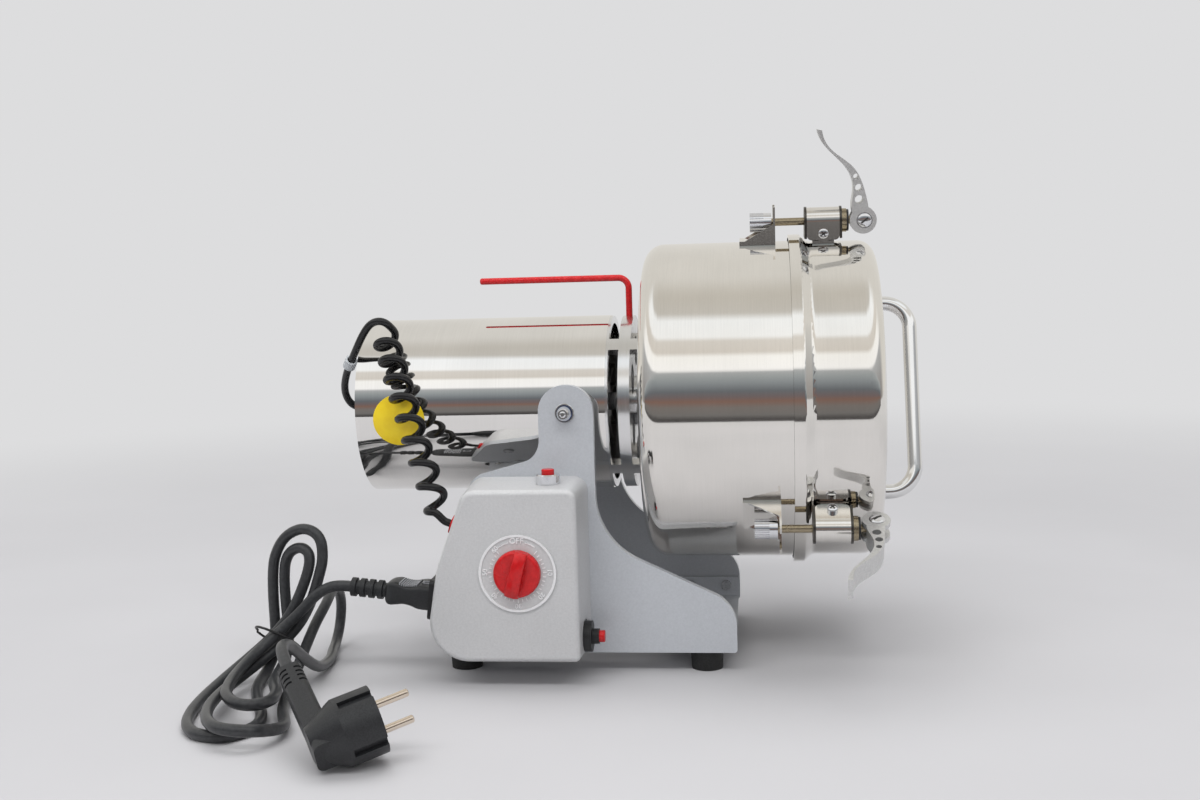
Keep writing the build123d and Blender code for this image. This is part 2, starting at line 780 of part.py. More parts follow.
# Stator, windings and brushes inside the casing
stator_bore = core_radius + air_gap
stator = along_x(casing_inner - seat_gap, -core_rear, -core_front)
stator -= along_x(stator_bore, -core_rear - 1, -core_front + 1)
pole_cut = along_x(casing_inner - 6.0, -core_rear - 1, -core_front + 1) - along_x(stator_bore + 6.0, -200, 60)
for angle in (0, 90):
    pole_cut -= Rot(angle, 0, 0) * block(-200, 60, -16, 16, -90, 90)
shapes["stator_core"] = raised(stator - pole_cut)
windings = []
for start, end in ((-core_rear - winding_length, -core_rear), (-core_front, -core_front + winding_length)):
    coil = along_x(stator_bore + 4.0 + winding_wall, start, end)
    coil -= along_x(stator_bore + 4.0, start - 1, end + 1)
    windings.append(fillet(coil.edges(), 3.0))
shapes["stator_windings"] = raised(Compound(children=windings))
brushes = []
commutator_middle = -commutator_rear + commutator_length / 2
for side in (-1, 1):
    low, high = sorted((side * (commutator_radius + 0.1), side * (commutator_radius + brush_length)))
    brush_x = (commutator_middle - brush_size / 2, commutator_middle + brush_size / 2)
    brushes.append(block(*brush_x, -brush_size / 2, brush_size / 2, low, high))
brush_end = commutator_radius + brush_length
holders = []
for side in (-1, 1):
    low, high = sorted((side * (commutator_radius + 4.0), side * (casing_inner - 1.0)))
    x0 = cap_front + seat_gap
    x1 = commutator_middle + brush_size / 2 + 3.0
    holder = block(x0, x1, -brush_size / 2 - 3, brush_size / 2 + 3, low, high)
    well = brush_size / 2 + seat_gap
    inner, outer = sorted((side * (commutator_radius + 2.0), side * (brush_end + 8.0)))
    holder -= block(commutator_middle - well, commutator_middle + well, -well, well, inner, outer)
    holders.append(holder)
shapes["brush_gear"] = raised(Compound(children=brushes + holders))

# Bearings
bearings = []
for start in (bearing_rear, hub_start):
    bearing = along_x(bearing_radius, start + seat_gap, start + bearing_length - seat_gap)
    bearing -= along_x(shaft_radius + running_fit, start - 1, start + bearing_length + 1)
    bearings.append(bearing)
shapes["motor_bearings"] = raised(Compound(children=bearings))

# Rotor: shaft with a blade shoulder, laminated core, commutator and fan
blade_top = blade_seat + 2 * blade_thick + blade_spacing
shaft_end = blade_top + blade_nut_height + 3.0
shaft = along_x(shaft_radius, bearing_rear + seat_gap, shaft_end)
shaft += along_x(blade_shoulder_radius, bowl_back + sheet + free_gap, blade_seat)
shapes["rotor_shaft"] = raised(shaft)
bore = shaft_radius + seat_gap / 2
core = along_x(core_radius, -core_rear, -core_front) - along_x(bore, -core_rear - 1, -core_front + 1)
for index in range(12):
    slot = block(-core_rear - 1, -core_front + 1, -1.5, 1.5, core_radius - 8, core_radius + 1)
    core -= Rot(30 * index, 0, 0) * slot
shapes["rotor_core"] = raised(core)
commutator = along_x(commutator_radius, -commutator_rear, -commutator_rear + commutator_length)
commutator -= along_x(bore, -commutator_rear - 1, -commutator_rear + commutator_length + 1)
shapes["commutator"] = raised(commutator)
fan_start = -fan_rear
fan = along_x(fan_hub_radius, fan_start, fan_start + fan_length)
fan += along_x(fan_radius, fan_start, fan_start + fan_disc)
for index in range(fan_blade_count):
    vane = block(
        fan_start + fan_disc - 0.5, fan_start + fan_length, -fan_blade_thick / 2, fan_blade_thick / 2,
        fan_hub_radius - 1, fan_radius,
    )
    fan += Rot(360 / fan_blade_count * index, 0, 0) * vane
fan -= along_x(bore, fan_start - 1, fan_start + fan_length + 1)
shapes["cooling_fan"] = raised(fan)


# Blades: a flat one near the floor of the bowl and one with raised tips above it
def blade(radius, x, rise, turn):
    """A two-armed blade whose tips rise along the shaft."""
    half_width = blade_width / 2
    arm = block(x, x + blade_thick, -half_width, half_width, -radius, radius)
    if rise > 0:
        knee = radius - rise
        arm = block(x, x + blade_thick, -half_width, half_width, -knee, knee)
        for side in (-1, 1):
            low, high = sorted((side * (knee - blade_thick), side * knee))
            arm += block(x, x + rise, -half_width, half_width, low, high)
    arm -= along_x(bore, x - 1, x + blade_thick + 1)
    return Rot(turn, 0, 0) * arm


upper_seat = blade_seat + blade_thick + blade_spacing
lower = blade(lower_blade_radius, blade_seat, 0, 30)
upper = blade(upper_blade_radius, upper_seat, blade_tip_rise, 120)
shapes["grinding_blades"] = raised(Compound(children=[lower, upper]))
spacer = along_x(blade_shoulder_radius + 2, blade_seat + blade_thick, upper_seat)
spacer -= along_x(bore, blade_seat, upper_seat + 1)
nut_base = Plane(origin=(blade_top, 0, 0), x_dir=(0, 1, 0), z_dir=(1, 0, 0))
blade_nut = extrude(nut_base * RegularPolygon(blade_nut_flats / 2, 6, major_radius=False), blade_nut_height)
blade_nut -= along_x(bore, blade_top - 1, blade_top + blade_nut_height + 1)
shapes["blade_fixings"] = raised(Compound(children=[spacer, blade_nut]))

# Bowl: a deep drawn cup with a hole for the shaft
bowl = spun(
    [
        (bowl_back, shaft_radius + free_gap),
        (bowl_back, bowl_radius),
        (bowl_mouth, bowl_radius),
        (bowl_mouth, bowl_radius - sheet),
        (bowl_back + sheet, bowl_radius - sheet),
        (bowl_back + sheet, shaft_radius + free_gap),
    ],
    {1: bowl_corner, 4: bowl_corner - sheet},
)
shapes["bowl"] = raised(bowl)

# Lid: a cup whose flared rim reaches over the mouth of the bowl
lid = spun(
    [
        (lid_start, lid_rim_radius),
        (lid_rim_end, lid_rim_radius),
        (lid_neck_end, lid_radius),
        (lid_end, lid_radius),
        (lid_end, 0),
        (lid_end - sheet, 0),
        (lid_end - sheet, lid_radius - sheet),
        (lid_neck_end + 0.6, lid_radius - sheet),
        (lid_rim_end + 0.3, lid_rim_radius - sheet),
        (lid_start, lid_rim_radius - sheet),
    ],
    {1: 1.5, 2: 4.0, 3: lid_corner, 6: lid_corner - sheet},
)
gasket_outer = bowl_radius + 0.3
gasket = along_x(gasket_outer, bowl_mouth, bowl_mouth + gasket_thick)
gasket -= along_x(gasket_outer - gasket_width, bowl_mouth - 1, bowl_mouth + gasket_thick + 1)
shapes["lid_gasket"] = raised(gasket)
shapes["lid"] = raised(lid)

# Lid handle: a bent bar welded to the lid
handle_out = lid_end + handle_reach - handle_radius
handle_path = FilletPolyline(
    (lid_end, 0, -handle_half),
    (handle_out, 0, -handle_half),
    (handle_out, 0, handle_half),
    (lid_end, 0, handle_half),
    radius=handle_bend,
).edges()
handle = tube("lid_handle", handle_path, handle_radius)
shapes["lid_handle"] = raised(Rot(-handle_angle, 0, 0) * handle)


# Clamps: each is drawn at the top of the drum, with Z as the radius, and then turned into place
def catch_bracket():
    """A folded bracket on the bowl whose slot takes the rod and whose mouth lets the nut swing out."""
    half_width = catch_width / 2
    foot = block(catch_start, catch_face, -half_width, half_width, bowl_radius - 2, bowl_radius + 2)
    plate = block(catch_face - catch_sheet, catch_face, -half_width, half_width, bowl_radius - 2, catch_top)
    mouth = nut_radius + 1.0
    plate -= block(catch_face - 5, catch_face + 1, -mouth, mouth, rod_orbit + 0.5, catch_top + 1)
    plate -= along_x(rod_radius + free_gap, catch_face - 5, catch_face + 1, 0, rod_orbit)
    neck = rod_radius + free_gap
    plate -= block(catch_face - 5, catch_face + 1, -neck, neck, rod_orbit, rod_orbit + 2)
    bracket = foot + plate
    for side in (-1, 1):
        y0, y1 = sorted((side * half_width, side * (half_width - catch_sheet)))
        gusset = make_face(
            Polyline(
                [
                    (catch_start, y0, bowl_radius),
                    (catch_face - catch_sheet / 2, y0, bowl_radius),
                    (catch_face - catch_sheet / 2, y0, rod_orbit),
                ],
                close=True,
            )
        )
        bracket += extrude(gusset, y1 - y0, dir=(0, 1, 0))
    return bracket - along_x(bowl_radius + seat_gap, 0, 200)


def lid_ear():
    """The ear on the lid that the strap swings on."""
    width = strap_radius - strap_sheet - free_gap
    ear = along_y(ear_radius, -width, width, swing_middle, swing_radius)
    ear += block(
        swing_middle - ear_radius, swing_middle + ear_radius, -width, width, lid_radius - 2, swing_radius
    )
    foot_start, foot_end = swing_middle - ear_foot / 2, swing_middle + ear_foot / 2
    ear += block(foot_start, foot_end, -width, width, lid_radius - 2, lid_radius + 1.6)
    ear -= along_y(swing_pin_radius + running_fit, -width - 1, width + 1, swing_middle, swing_radius)
    return ear - along_x(lid_radius + seat_gap, 0, 250)


def swing_screw():
    """The screw through the strap's legs and the ear."""
    reach = strap_radius + running_fit
    pin = along_y(swing_pin_radius, -reach, reach, swing_middle, swing_radius)
    for side in (-1, 1):
        pin += along_y(
            swing_head_radius, side * reach, side * (reach + swing_head_height), swing_middle, swing_radius
        )
    return pin


def strap():
    """The bent strap, its end washers and the barrel that guides the rod."""
    outer = along_x(strap_radius, strap_start, strap_end, 0, rod_orbit)
    side_low = lid_radius + strap_lift
    legs = block(strap_start, strap_end, -strap_radius, strap_radius, side_low, rod_orbit)
    outer += fillet(legs.edges().filter_by(Axis.Y).group_by(Axis.Z)[0], strap_round)
    hollow = strap_radius - strap_sheet
    outer -= along_x(hollow, strap_start - 1, strap_end + 1, 0, rod_orbit)
    outer -= block(strap_start - 1, strap_end + 1, -hollow, hollow, swing_radius - 20, rod_orbit)
    outer -= along_y(swing_pin_radius + running_fit, -20, 20, swing_middle, swing_radius)
    ends = Part()
    end_low = lid_radius + strap_end_lift
    end_radius = strap_radius + 0.5
    for start in (strap_start - washer_thick, strap_end):
        ends += along_x(end_radius, start, start + washer_thick, 0, rod_orbit)
        ends += block(start, start + washer_thick, -end_radius, end_radius, end_low, rod_orbit)
    core = along_x(barrel_radius, strap_start - washer_thick, strap_end + washer_thick, 0, rod_orbit)
    body = outer + ends + core
    return body - along_x(rod_radius + seat_gap, 0, 300, 0, rod_orbit)


def rod():
    """The threaded rod with the cross pin that the lever turns on."""
    nut_start = catch_face - catch_sheet - nut_stand_off - nut_length
    bar = along_x(rod_radius, nut_start + nut_end_wall + free_gap, lever_pin, 0, rod_orbit)
    return bar + along_y(lever_pin_radius, -lever_width / 2, lever_width / 2, lever_pin, rod_orbit)


def bush():
    """The brass bush and the black pad between the strap and the lever's cam."""
    start = strap_end + washer_thick
    brass = along_x(bush_radius, start, start + bush_length, 0, rod_orbit)
    pad = along_x(spacer_radius, start + bush_length, lever_face, 0, rod_orbit)
    hole = along_x(rod_radius + seat_gap, 0, 300, 0, rod_orbit)
    return Compound(children=[brass - hole, pad - hole])


def lever():
    """The cam lever: a round head, a holed neck and a thin curved blade."""
    front = [(0.044, 0.14), (0.003, 0.324), (-0.118, 0.58), (-0.321, 0.747), (-0.454, 0.986)]
    back = [(-0.509, 1.0), (-0.362, 0.749), (-0.164, 0.522), (-0.119, 0.341), (-0.14, 0.154), (-0.102, 0.034)]

    def on_lever(x, z):
        return lever_pin + x * lever_length, 0, rod_orbit + z * lever_length

    rise = Spline([on_lever(x, z) for x, z in front])
    fall = Spline([on_lever(x, z) for x, z in back])
    tip = Line(rise @ 1, fall @ 0)
    heel = Line(fall @ 1, rise @ 0)
    arm = extrude(make_face([rise, tip, fall, heel]), lever_width / 2, dir=(0, 1, 0), both=True)
    head = along_y(lever_head_radius, -lever_width / 2, lever_width / 2, lever_pin - lever_cam, rod_orbit)
    body = arm + head
    for x, z, share in ((-0.058, 0.229, 0.046), (-0.063, 0.358, 0.039), (-0.092, 0.481, 0.029)):
        middle_x, _, middle_z = on_lever(x, z)
        body -= along_y(share * lever_length, -lever_width, lever_width, middle_x, middle_z)
    slot = lever_slot / 2
    cut = 2 * lever_head_radius
    body -= block(lever_pin - cut, lever_pin + cut, -slot, slot, rod_orbit - cut, rod_orbit + lever_slot_rise)
    return body - along_y(lever_pin_radius + running_fit, -lever_width, lever_width, lever_pin, rod_orbit)


def knurled_nut():
    """The fluted thumb nut behind the catch."""
    end = catch_face - catch_sheet - nut_stand_off
    nut = along_x(nut_radius, end - nut_length, end, 0, rod_orbit)
    for index in range(nut_flutes):
        angle = 2 * pi * index / nut_flutes
        y, z = nut_radius * sin(angle), nut_radius * cos(angle)
        nut -= along_x(0.35, end - nut_length - 1, end - 5.0, y, rod_orbit + z)
    return nut - along_x(rod_radius + seat_gap, end - nut_length + nut_end_wall, end + 1, 0, rod_orbit)


catches, ears, pins = [], [], []
for index in range(clamp_count):
    place = Pos(0, 0, pivot_height) * Rot(clamp_phase + 360 / clamp_count * index, 0, 0)
    number = index + 1
    catches.append(place * catch_bracket())
    ears.append(place * lid_ear())
    pins.append(place * swing_screw())
    shapes[f"clamp_strap_{number}"] = place * strap()
    bushes = [place * piece for piece in bush().solids()]
    lean = Pos(0, 0, rod_orbit) * Rot(lever_leans[index], 0, 0) * Pos(0, 0, -rod_orbit)
    throw = Pos(lever_pin, 0, rod_orbit) * Rot(0, lever_opens[index], 0) * Pos(-lever_pin, 0, -rod_orbit)
    shapes[f"clamp_rod_{number}"] = Compound(children=[place * lean * rod(), *bushes])
    shapes[f"clamp_lever_{number}"] = place * lean * throw * lever()
    shapes[f"clamp_nut_{number}"] = place * knurled_nut()
shapes["catch_brackets"] = Compound(children=catches)
shapes["lid_ears"] = Compound(children=ears)
shapes["clamp_screws"] = Compound(children=pins)

# Curly lead from the motor's rear gland, round the rim of the casing and down to the control box
lead_start = Vector(cap_rear - gland_proud - end_cap_inset, -gland_side, pivot_height)
lead_points = [
    tuple(lead_start),
    (-151.0, -gland_side, pivot_height),
    (-156.5, -21.0, pivot_height + 5.5),
    (-156.5, -28.0, pivot_height + 15.0),
    (-151.0, -38.0, pivot_height + 26.5),
    (-141.5, -49.5, pivot_height + 39.5),
    (-134.5, -53.5, pivot_height + 51.5),
    (-127.5, -56.5, pivot_height + 59.5),
    (-118.5, -59.5, pivot_height + 60.5),
]
lead_edges = cord_run("coiled_lead", lead_points)
lead_turn = Vector(*lead_points[-1]) - Vector(*lead_points[-2])
curl_top = Vector(-120.5, -58.5, pivot_height + 49.0)
curl_bend = Vector(-99.0, -71.0, pivot_height - 3.0)
curl_low = grommet_seat + Vector(-11.5, 5.5, 6.5)


def curl_axis(t):
    """A point on the curl's bowed axis, from 0 at the top to 1 at the box."""
    return curl_top * (1 - t) ** 2 + curl_bend * (2 * t * (1 - t)) + curl_low * t ** 2


def curl_point(turns):
    """A point on the curl after some turns: close turns above, stretched turns below."""
    share = turns / curl_turns
    t = 0.8 * share + 0.2 * share ** 2
    step = 1e-3
    forward = (curl_axis(t + step) - curl_axis(t - step)).normalized()
    side = forward.cross(Vector(0, 1, 0)).normalized()
    other = side.cross(forward)
    angle = 2 * pi * turns
    return curl_axis(t) + side * (curl_radius * cos(angle)) + other * (curl_radius * sin(angle))


def curl_tangent(turns):
    """The direction of travel on the curl."""
    step = 1e-3
    return (curl_point(turns + step) - curl_point(turns - step)).normalized()


here, heading = Vector(*lead_points[-1]), lead_turn.normalized()
for quarter in range(int(4 * curl_turns) + 1):
    turns = quarter / 4
    lead_edges += biarc(here, heading, curl_point(turns), curl_tangent(turns))
    here, heading = curl_point(turns), curl_tangent(turns)
lead_end = grommet_seat + grommet_out * grommet_flange
lead_stub = lead_end + grommet_out * (2 * lead_radius)
lead_edges += biarc(here, heading, lead_stub, grommet_out * -1)
lead_edges += [Line(lead_stub, lead_end)]
self_gap("coiled_lead", lead_edges, lead_radius, 20.0)
shapes["coiled_lead"] = tube("coiled_lead", lead_edges, lead_radius)

# Grey clip on the lead beside the rim of the casing
clip_low, clip_high = Vector(*lead_points[4]), Vector(*lead_points[5])
clip_along = (clip_high - clip_low).normalized()
clip_place = clip_low + (clip_high - clip_low) * 0.45 - clip_along * (clip_length / 2)
clip_base = Plane(origin=clip_place, z_dir=clip_along)
clip = extrude(clip_base * Circle(lead_radius + free_gap + clip_wall), clip_length)
shapes["lead_clip"] = clip - extrude(clip_base * Circle(lead_radius + free_gap), clip_length)

# Connector of the power cord, in the inlet
connector_face = inlet_flange + seat_gap
connector = inlet_block(nose_width, nose_height, -connector_nose, connector_face, 2.0)
connector_end = connector_face + connector_length
head = [
    Plane(origin=inlet_seat + inlet_out * connector_face, x_dir=(0, 1, 0), z_dir=inlet_out)
    * RectangleRounded(26.0, 21.0, 3.0),
    Plane(origin=inlet_seat + inlet_out * (connector_face + 14.0), x_dir=(0, 1, 0), z_dir=inlet_out)
    * RectangleRounded(25.0, 19.5, 3.0),
    Plane(origin=inlet_seat + inlet_out * connector_end, x_dir=(0, 1, 0), z_dir=inlet_out)
    * RectangleRounded(16.0, 14.0, 3.0),
]
connector += loft(head, ruled=True)
relief_end = connector_end + relief_length
for index in range(relief_ribs):
    pitch = relief_length / relief_ribs
    start = connector_end + pitch * index
    groove = Plane(origin=inlet_seat + inlet_out * start, z_dir=inlet_out)
    connector += extrude(groove * Circle(relief_radius - 1.4), pitch)
    rib = Plane(origin=inlet_seat + inlet_out * (start + pitch * 0.4), z_dir=inlet_out)
    connector += extrude(rib * Circle(relief_radius), pitch * 0.6)
shapes["cord_connector"] = connector

# Hank of the power cord: crossed loops tied at the waist, some on the table and the others standing up
hank_x = -190.0
hank_y = -78.0
hank_bend = 30.0
hank_bend_angle = 66.0
hank_table_turn = 23.0
hank_lean = 0.25
hank_layer = 8.2
hank_cross = 46.0
hank_return = 8.0
hank_stretch = 1.6
hank_round = 1.1
lower_reach = [84.0, 104.0, 124.0]
lower_middle = [-13.0, -29.0, -17.5]
lower_half = [14.5, 21.0, 21.5]
lower_layers = [(1.35, 1.25, 1.1), (0.0, 0.0, 0.0), (1.05, 1.05, 0.0)]
waist_slots = [(0.0, 2.1), (-5.6, 1.0), (5.6, 1.0)]
waist_returns = [4.4, -4.4]
foot_slots = [(6.0, 0.5), (-5.5, 0.0)]
upper_top = [63.0, 76.0]
upper_half = [9.8, 17.8]
across = Vector(1, 0, 0)
waist_turn = radians(hank_bend_angle)
hank_waist = Vector(hank_x, hank_y, cord_radius + hank_bend * (1 - cos(waist_turn)))
table_turn = radians(hank_table_turn)
table_along = Vector(sin(table_turn), -cos(table_turn), 0)
table_across = Vector(cos(table_turn), sin(table_turn), 0)
table_start = Vector(hank_x, hank_y - hank_bend * sin(waist_turn), cord_radius)
hank_foot = -hank_bend * waist_turn
hank_upright = hank_bend * (pi / 2 - waist_turn)


def hank_base(s):
    """The place and heading of the hank's middle, s mm above the waist along it."""
    level = min(max(s, hank_foot), hank_upright)
    turn = waist_turn + level / hank_bend
    y = hank_bend * (sin(turn) - sin(waist_turn)) + (s - level) * cos(turn)
    z = hank_bend * (cos(waist_turn) - cos(turn)) + (s - level) * sin(turn)
    lean = hank_lean if s > 0 else 0.0
    return hank_waist + Vector(lean * s, y, z), Vector(lean, cos(turn), sin(turn)).normalized()


def hank_up(s):
    """The direction off the hank's lower face, s mm above the waist."""
    return across.cross(hank_base(s)[1]).normalized()


def hank_place(s, side, layer):
    """A point of the hank: s along it, side across it to the right, in a layer off its lower face."""
    return hank_base(s)[0] + across * side + hank_up(s) * (layer * hank_layer)


def lower_stop(turn, step):
    """One of five stops round the end of a lower loop, from its left to its right."""
    angle = radians(45 * step - 90)
    half = lower_half[turn]
    left, end, right = lower_layers[turn]
    layer = left + (end - left) * step / 2 if step < 2 else end + (right - end) * (step - 2) / 2
    along = lower_reach[turn] - hank_stretch * half * (1 - cos(angle))
    side = lower_middle[turn] + half * sin(angle)
    place = table_start + table_along * along + table_across * side + Vector(0, 0, layer * hank_layer)
    heading = table_along * (-hank_stretch * sin(angle)) + table_across * cos(angle)
    return place, heading.normalized()


def upper_stop(turn, step):
    """One of five stops round the top of an upper loop, from its left to its right."""
    angle = radians(45 * step - 90)
    half = upper_half[turn]
    s = upper_top[turn] - hank_round * half * (1 - cos(angle))
    heading = hank_base(s)[1] * (-hank_round * half * sin(angle)) + across * (half * cos(angle))
    heading += hank_up(s) * (hank_layer / pi)
    return hank_place(s, half * sin(angle), step / 4), heading.normalized()


waist_along = hank_base(0)[1]
crossing = (waist_along * -cos(radians(hank_cross)) - across * sin(radians(hank_cross))).normalized()
returning = (waist_along * cos(radians(hank_return)) - across * sin(radians(hank_return))).normalized()
foot_heading = Vector(-0.12, 1.0, 0).normalized()
hank_stops = []
for turn in range(len(lower_reach)):
    hank_stops.append((hank_place(0, *waist_slots[turn]), crossing))
    hank_stops += [lower_stop(turn, step) for step in range(5)]
    if turn < len(upper_top):
        hank_stops.append((hank_place(hank_foot, *foot_slots[turn]), foot_heading))
        hank_stops.append((hank_place(0, waist_returns[turn], 0), returning))
        hank_stops += [upper_stop(turn, step) for step in range(5)]
hank_edges = []
for (p0, t0), (p1, t1) in zip(hank_stops, hank_stops[1:]):
    hank_edges += biarc(p0, t0, p1, t1)
self_gap("cord_hank", hank_edges, cord_radius, 25.0)
shapes["cord_hank"] = tube("cord_hank", hank_edges, cord_radius)

# Plug's place and directions: its pins, and its cord arm square to them
plug_pins_to = Vector(0.849, 0.470, 0.242)
plug_cord = Vector(-0.529, 0.764, 0.370).normalized()
plug_side = plug_pins_to.cross(plug_cord).normalized()
plug_back = Vector(-138.3, -207.8, 37.6)

# Free stretches of the power cord, from the connector to the hank and from the hank to the plug
cord_start = inlet_seat + inlet_out * relief_end
hank_in, hank_in_heading = hank_stops[0]
hank_out, hank_out_heading = hank_stops[-1]
first_points = [
    tuple(cord_start),
    tuple(cord_start + inlet_out * 9.0),
    (-155.0, -94.0, 59.5),
    (-163.8, -93.4, 52.8),
    (-172.0, -92.0, 44.2),
    tuple(hank_in - hank_in_heading * 12.0),
    tuple(hank_in),
]
second_points = [
    tuple(hank_out),
    tuple(hank_out + hank_out_heading * 27.0),
    (-168.0, -130.0, 5.0),
    (-171.0, -106.0, 11.5),
    (-170.8, -87.0, 21.5),
    (-169.3, -71.0, 32.0),
    (-167.3, -55.0, 40.0),
    (-165.0, -38.5, 44.0),
    (-162.5, -21.5, 44.6),
    (-163.0, -9.5, 32.8),
    (-164.5, -9.5, 15.8),
    (-166.5, -21.5, 4.0),
    (-166.5, -39.0, 3.7),
    (-164.5, -57.0, 4.0),
    (-162.5, -77.0, 5.2),
    (-160.5, -98.0, 9.5),
    (-159.8, -124.0, 23.0),
    (-158.0, -147.0, 36.0),
    (-155.5, -168.0, 45.0),
    tuple(plug_back + plug_cord * 24.0),
    tuple(plug_back),
]
stretches = [
    tube("power_cord first", cord_run("power_cord first", first_points), cord_radius),
    tube("power_cord second", cord_run("power_cord second", second_points), cord_radius),
]
shapes["power_cord"] = Compound(children=stretches)

# Wire tie round the waist of the hank
tie_plane = Plane(origin=hank_place(0, 0, 1), x_dir=(1, 0, 0), z_dir=waist_along)
tie_width = 26.5
tie_height = 2 * (hank_layer + cord_radius + 2 * tie_radius) + 1.0
tie_path = (tie_plane * RectangleRounded(tie_width, tie_height, 7.0)).wire()
tie_section = Plane(origin=tie_path @ 0, z_dir=tie_path % 0) * Circle(tie_radius)
shapes["cord_tie"] = sweep(tie_section, path=tie_path)

# Angled plug resting on the table: round grooved body, cord arm with slots near its end, two round pins
plug_frame = Plane(origin=plug_back, x_dir=plug_cord.cross(plug_side), z_dir=plug_cord)
plug_middle = -plug_arm
arm_half = plug_arm_thick / 2
arm_side = plug_arm_width / 2
cone_end = plug_cone - arm_half
plug_body = spun(
    [
        (-arm_half, 0),
        (-arm_half, plug_cone_radius),
        (cone_end, plug_radius),
        (plug_length, plug_radius),
        (plug_length, 0),
    ]
)
groove_half = plug_groove_width / 2
groove_low = plug_radius - plug_groove_depth
groove = block(cone_end + 2.0, plug_length + 1, -groove_half, groove_half, groove_low, plug_radius + 1)
for quarter in range(4):
    plug_body -= Rot(90 * quarter, 0, 0) * groove
plug_body = Pos(0, 0, plug_middle) * plug_body
arm = block(-arm_half, arm_half, -arm_side, arm_side, plug_middle - plug_arm_past, 0)
arm = fillet(arm.edges().filter_by(Axis.Z), plug_arm_round)
for index in range(plug_slots):
    high = -plug_slot_start - plug_slot_pitch * index
    for side in (-1, 1):
        x0, x1 = sorted((side * (arm_half - plug_slot_length), side * (arm_half + 1)))
        for face in (-1, 1):
            y0, y1 = sorted((face * (arm_side - plug_slot_depth), face * (arm_side + 1)))
            arm -= block(x0, x1, y0, y1, high - plug_slot_width, high)
plug_body += arm
pins = []
for side in (-1, 1):
    pin = along_x(pin_radius, plug_length, plug_length + pin_length, side * pin_spacing / 2, plug_middle)
    pins.append(plug_frame * fillet(pin.edges().sort_by(Axis.X)[-1], 1.2))
shapes["plug"] = Compound(children=[plug_frame * plug_body, *pins])
print("plug lowest point", round(shapes["plug"].bounding_box().min.Z, 2))

# The origin is the middle of the machine's footprint box on the table, cord left aside
cord_pieces = ("coiled_lead", "lead_clip", "cord_connector", "power_cord", "cord_hank", "cord_tie", "plug")
own_pieces = [shape for name, shape in shapes.items() if name not in cord_pieces]
machine = Compound(children=[Pos(0, 0, 0) * shape for shape in own_pieces])
footprint = machine.bounding_box()
centre = footprint.center()
print("shift", round(-centre.X, 4), round(-centre.Y, 4), "floor", round(footprint.min.Z, 4))
os.makedirs("parts", exist_ok=True)
for name, shape in shapes.items():
    export_step(Pos(-centre.X, -centre.Y, 0) * shape, f"parts/{name}.step")
print(len(shapes), "nodes")
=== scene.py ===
import json
from math import atan, copysign, cos, pi, radians, sin

import bmesh
import bpy
from mathutils import Matrix, Vector


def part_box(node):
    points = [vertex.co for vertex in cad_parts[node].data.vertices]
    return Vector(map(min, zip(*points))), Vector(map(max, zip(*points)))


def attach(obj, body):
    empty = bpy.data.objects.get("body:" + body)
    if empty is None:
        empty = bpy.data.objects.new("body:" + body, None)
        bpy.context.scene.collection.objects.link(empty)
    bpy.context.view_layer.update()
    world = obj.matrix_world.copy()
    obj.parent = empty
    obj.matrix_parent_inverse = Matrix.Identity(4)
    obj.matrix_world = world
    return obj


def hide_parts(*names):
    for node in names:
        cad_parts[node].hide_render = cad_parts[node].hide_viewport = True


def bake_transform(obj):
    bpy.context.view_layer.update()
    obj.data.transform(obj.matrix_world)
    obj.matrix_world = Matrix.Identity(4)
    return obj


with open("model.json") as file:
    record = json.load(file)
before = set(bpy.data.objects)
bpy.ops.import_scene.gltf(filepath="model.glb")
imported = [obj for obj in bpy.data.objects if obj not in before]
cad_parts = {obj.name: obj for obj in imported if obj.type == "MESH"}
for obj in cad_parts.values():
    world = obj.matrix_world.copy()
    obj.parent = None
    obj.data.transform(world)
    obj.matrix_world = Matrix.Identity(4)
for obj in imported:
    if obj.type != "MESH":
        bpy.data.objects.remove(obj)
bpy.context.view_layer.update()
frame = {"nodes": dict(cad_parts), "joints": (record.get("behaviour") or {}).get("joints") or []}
nodes = frame["nodes"]


# Studio floor and room: a pale matt table top that fades into a pale room, with no edge in sight.
# The room's own light is even and comes from all sides, as from white walls and a white ceiling.
# One function turns a written sRGB colour into light, and one adds a node to a material.
def tint(code):
    """Linear colour of an sRGB hex code."""
    parts = [int(code[i:i + 2], 16) / 255 for i in (1, 3, 5)]
    return (*(c / 12.92 if c <= 0.04045 else ((c + 0.055) / 1.055) ** 2.4 for c in parts), 1.0)


def add(tree, kind, **given):
    """A node with its settings: lower-case names are its own, the rest its inputs, i0 the first one."""
    made = tree.nodes.new("ShaderNode" + kind)
    for name, value in given.items():
        if name[0] == "i" and name[1:].isdigit():
            socket = made.inputs[int(name[1:])]
        elif name[0].isupper():
            socket = made.inputs[name.replace("_", " ")]
        else:
            setattr(made, name, value)
            continue
        if isinstance(value, bpy.types.NodeSocket):
            tree.links.new(value, socket)
        else:
            socket.default_value = value
    return made


def fresh(name):
    """A new node material with its shader and the place on the object, in metres."""
    material = bpy.data.materials.new(name)
    material.use_nodes = True
    tree = material.node_tree
    place = tree.nodes.new("ShaderNodeTexCoord").outputs["Object"]
    return material, tree, tree.nodes["Principled BSDF"], place


def ramp(tree, source, stops):
    """Colours or greys laid along a 0 to 1 value."""
    made = add(tree, "ValToRGB", Fac=source)
    line = made.color_ramp.elements
    while len(line) < len(stops):
        line.new(0.5)
    for element, (position, colour) in zip(line, stops):
        element.position = position
        element.color = colour
    return made.outputs["Color"]


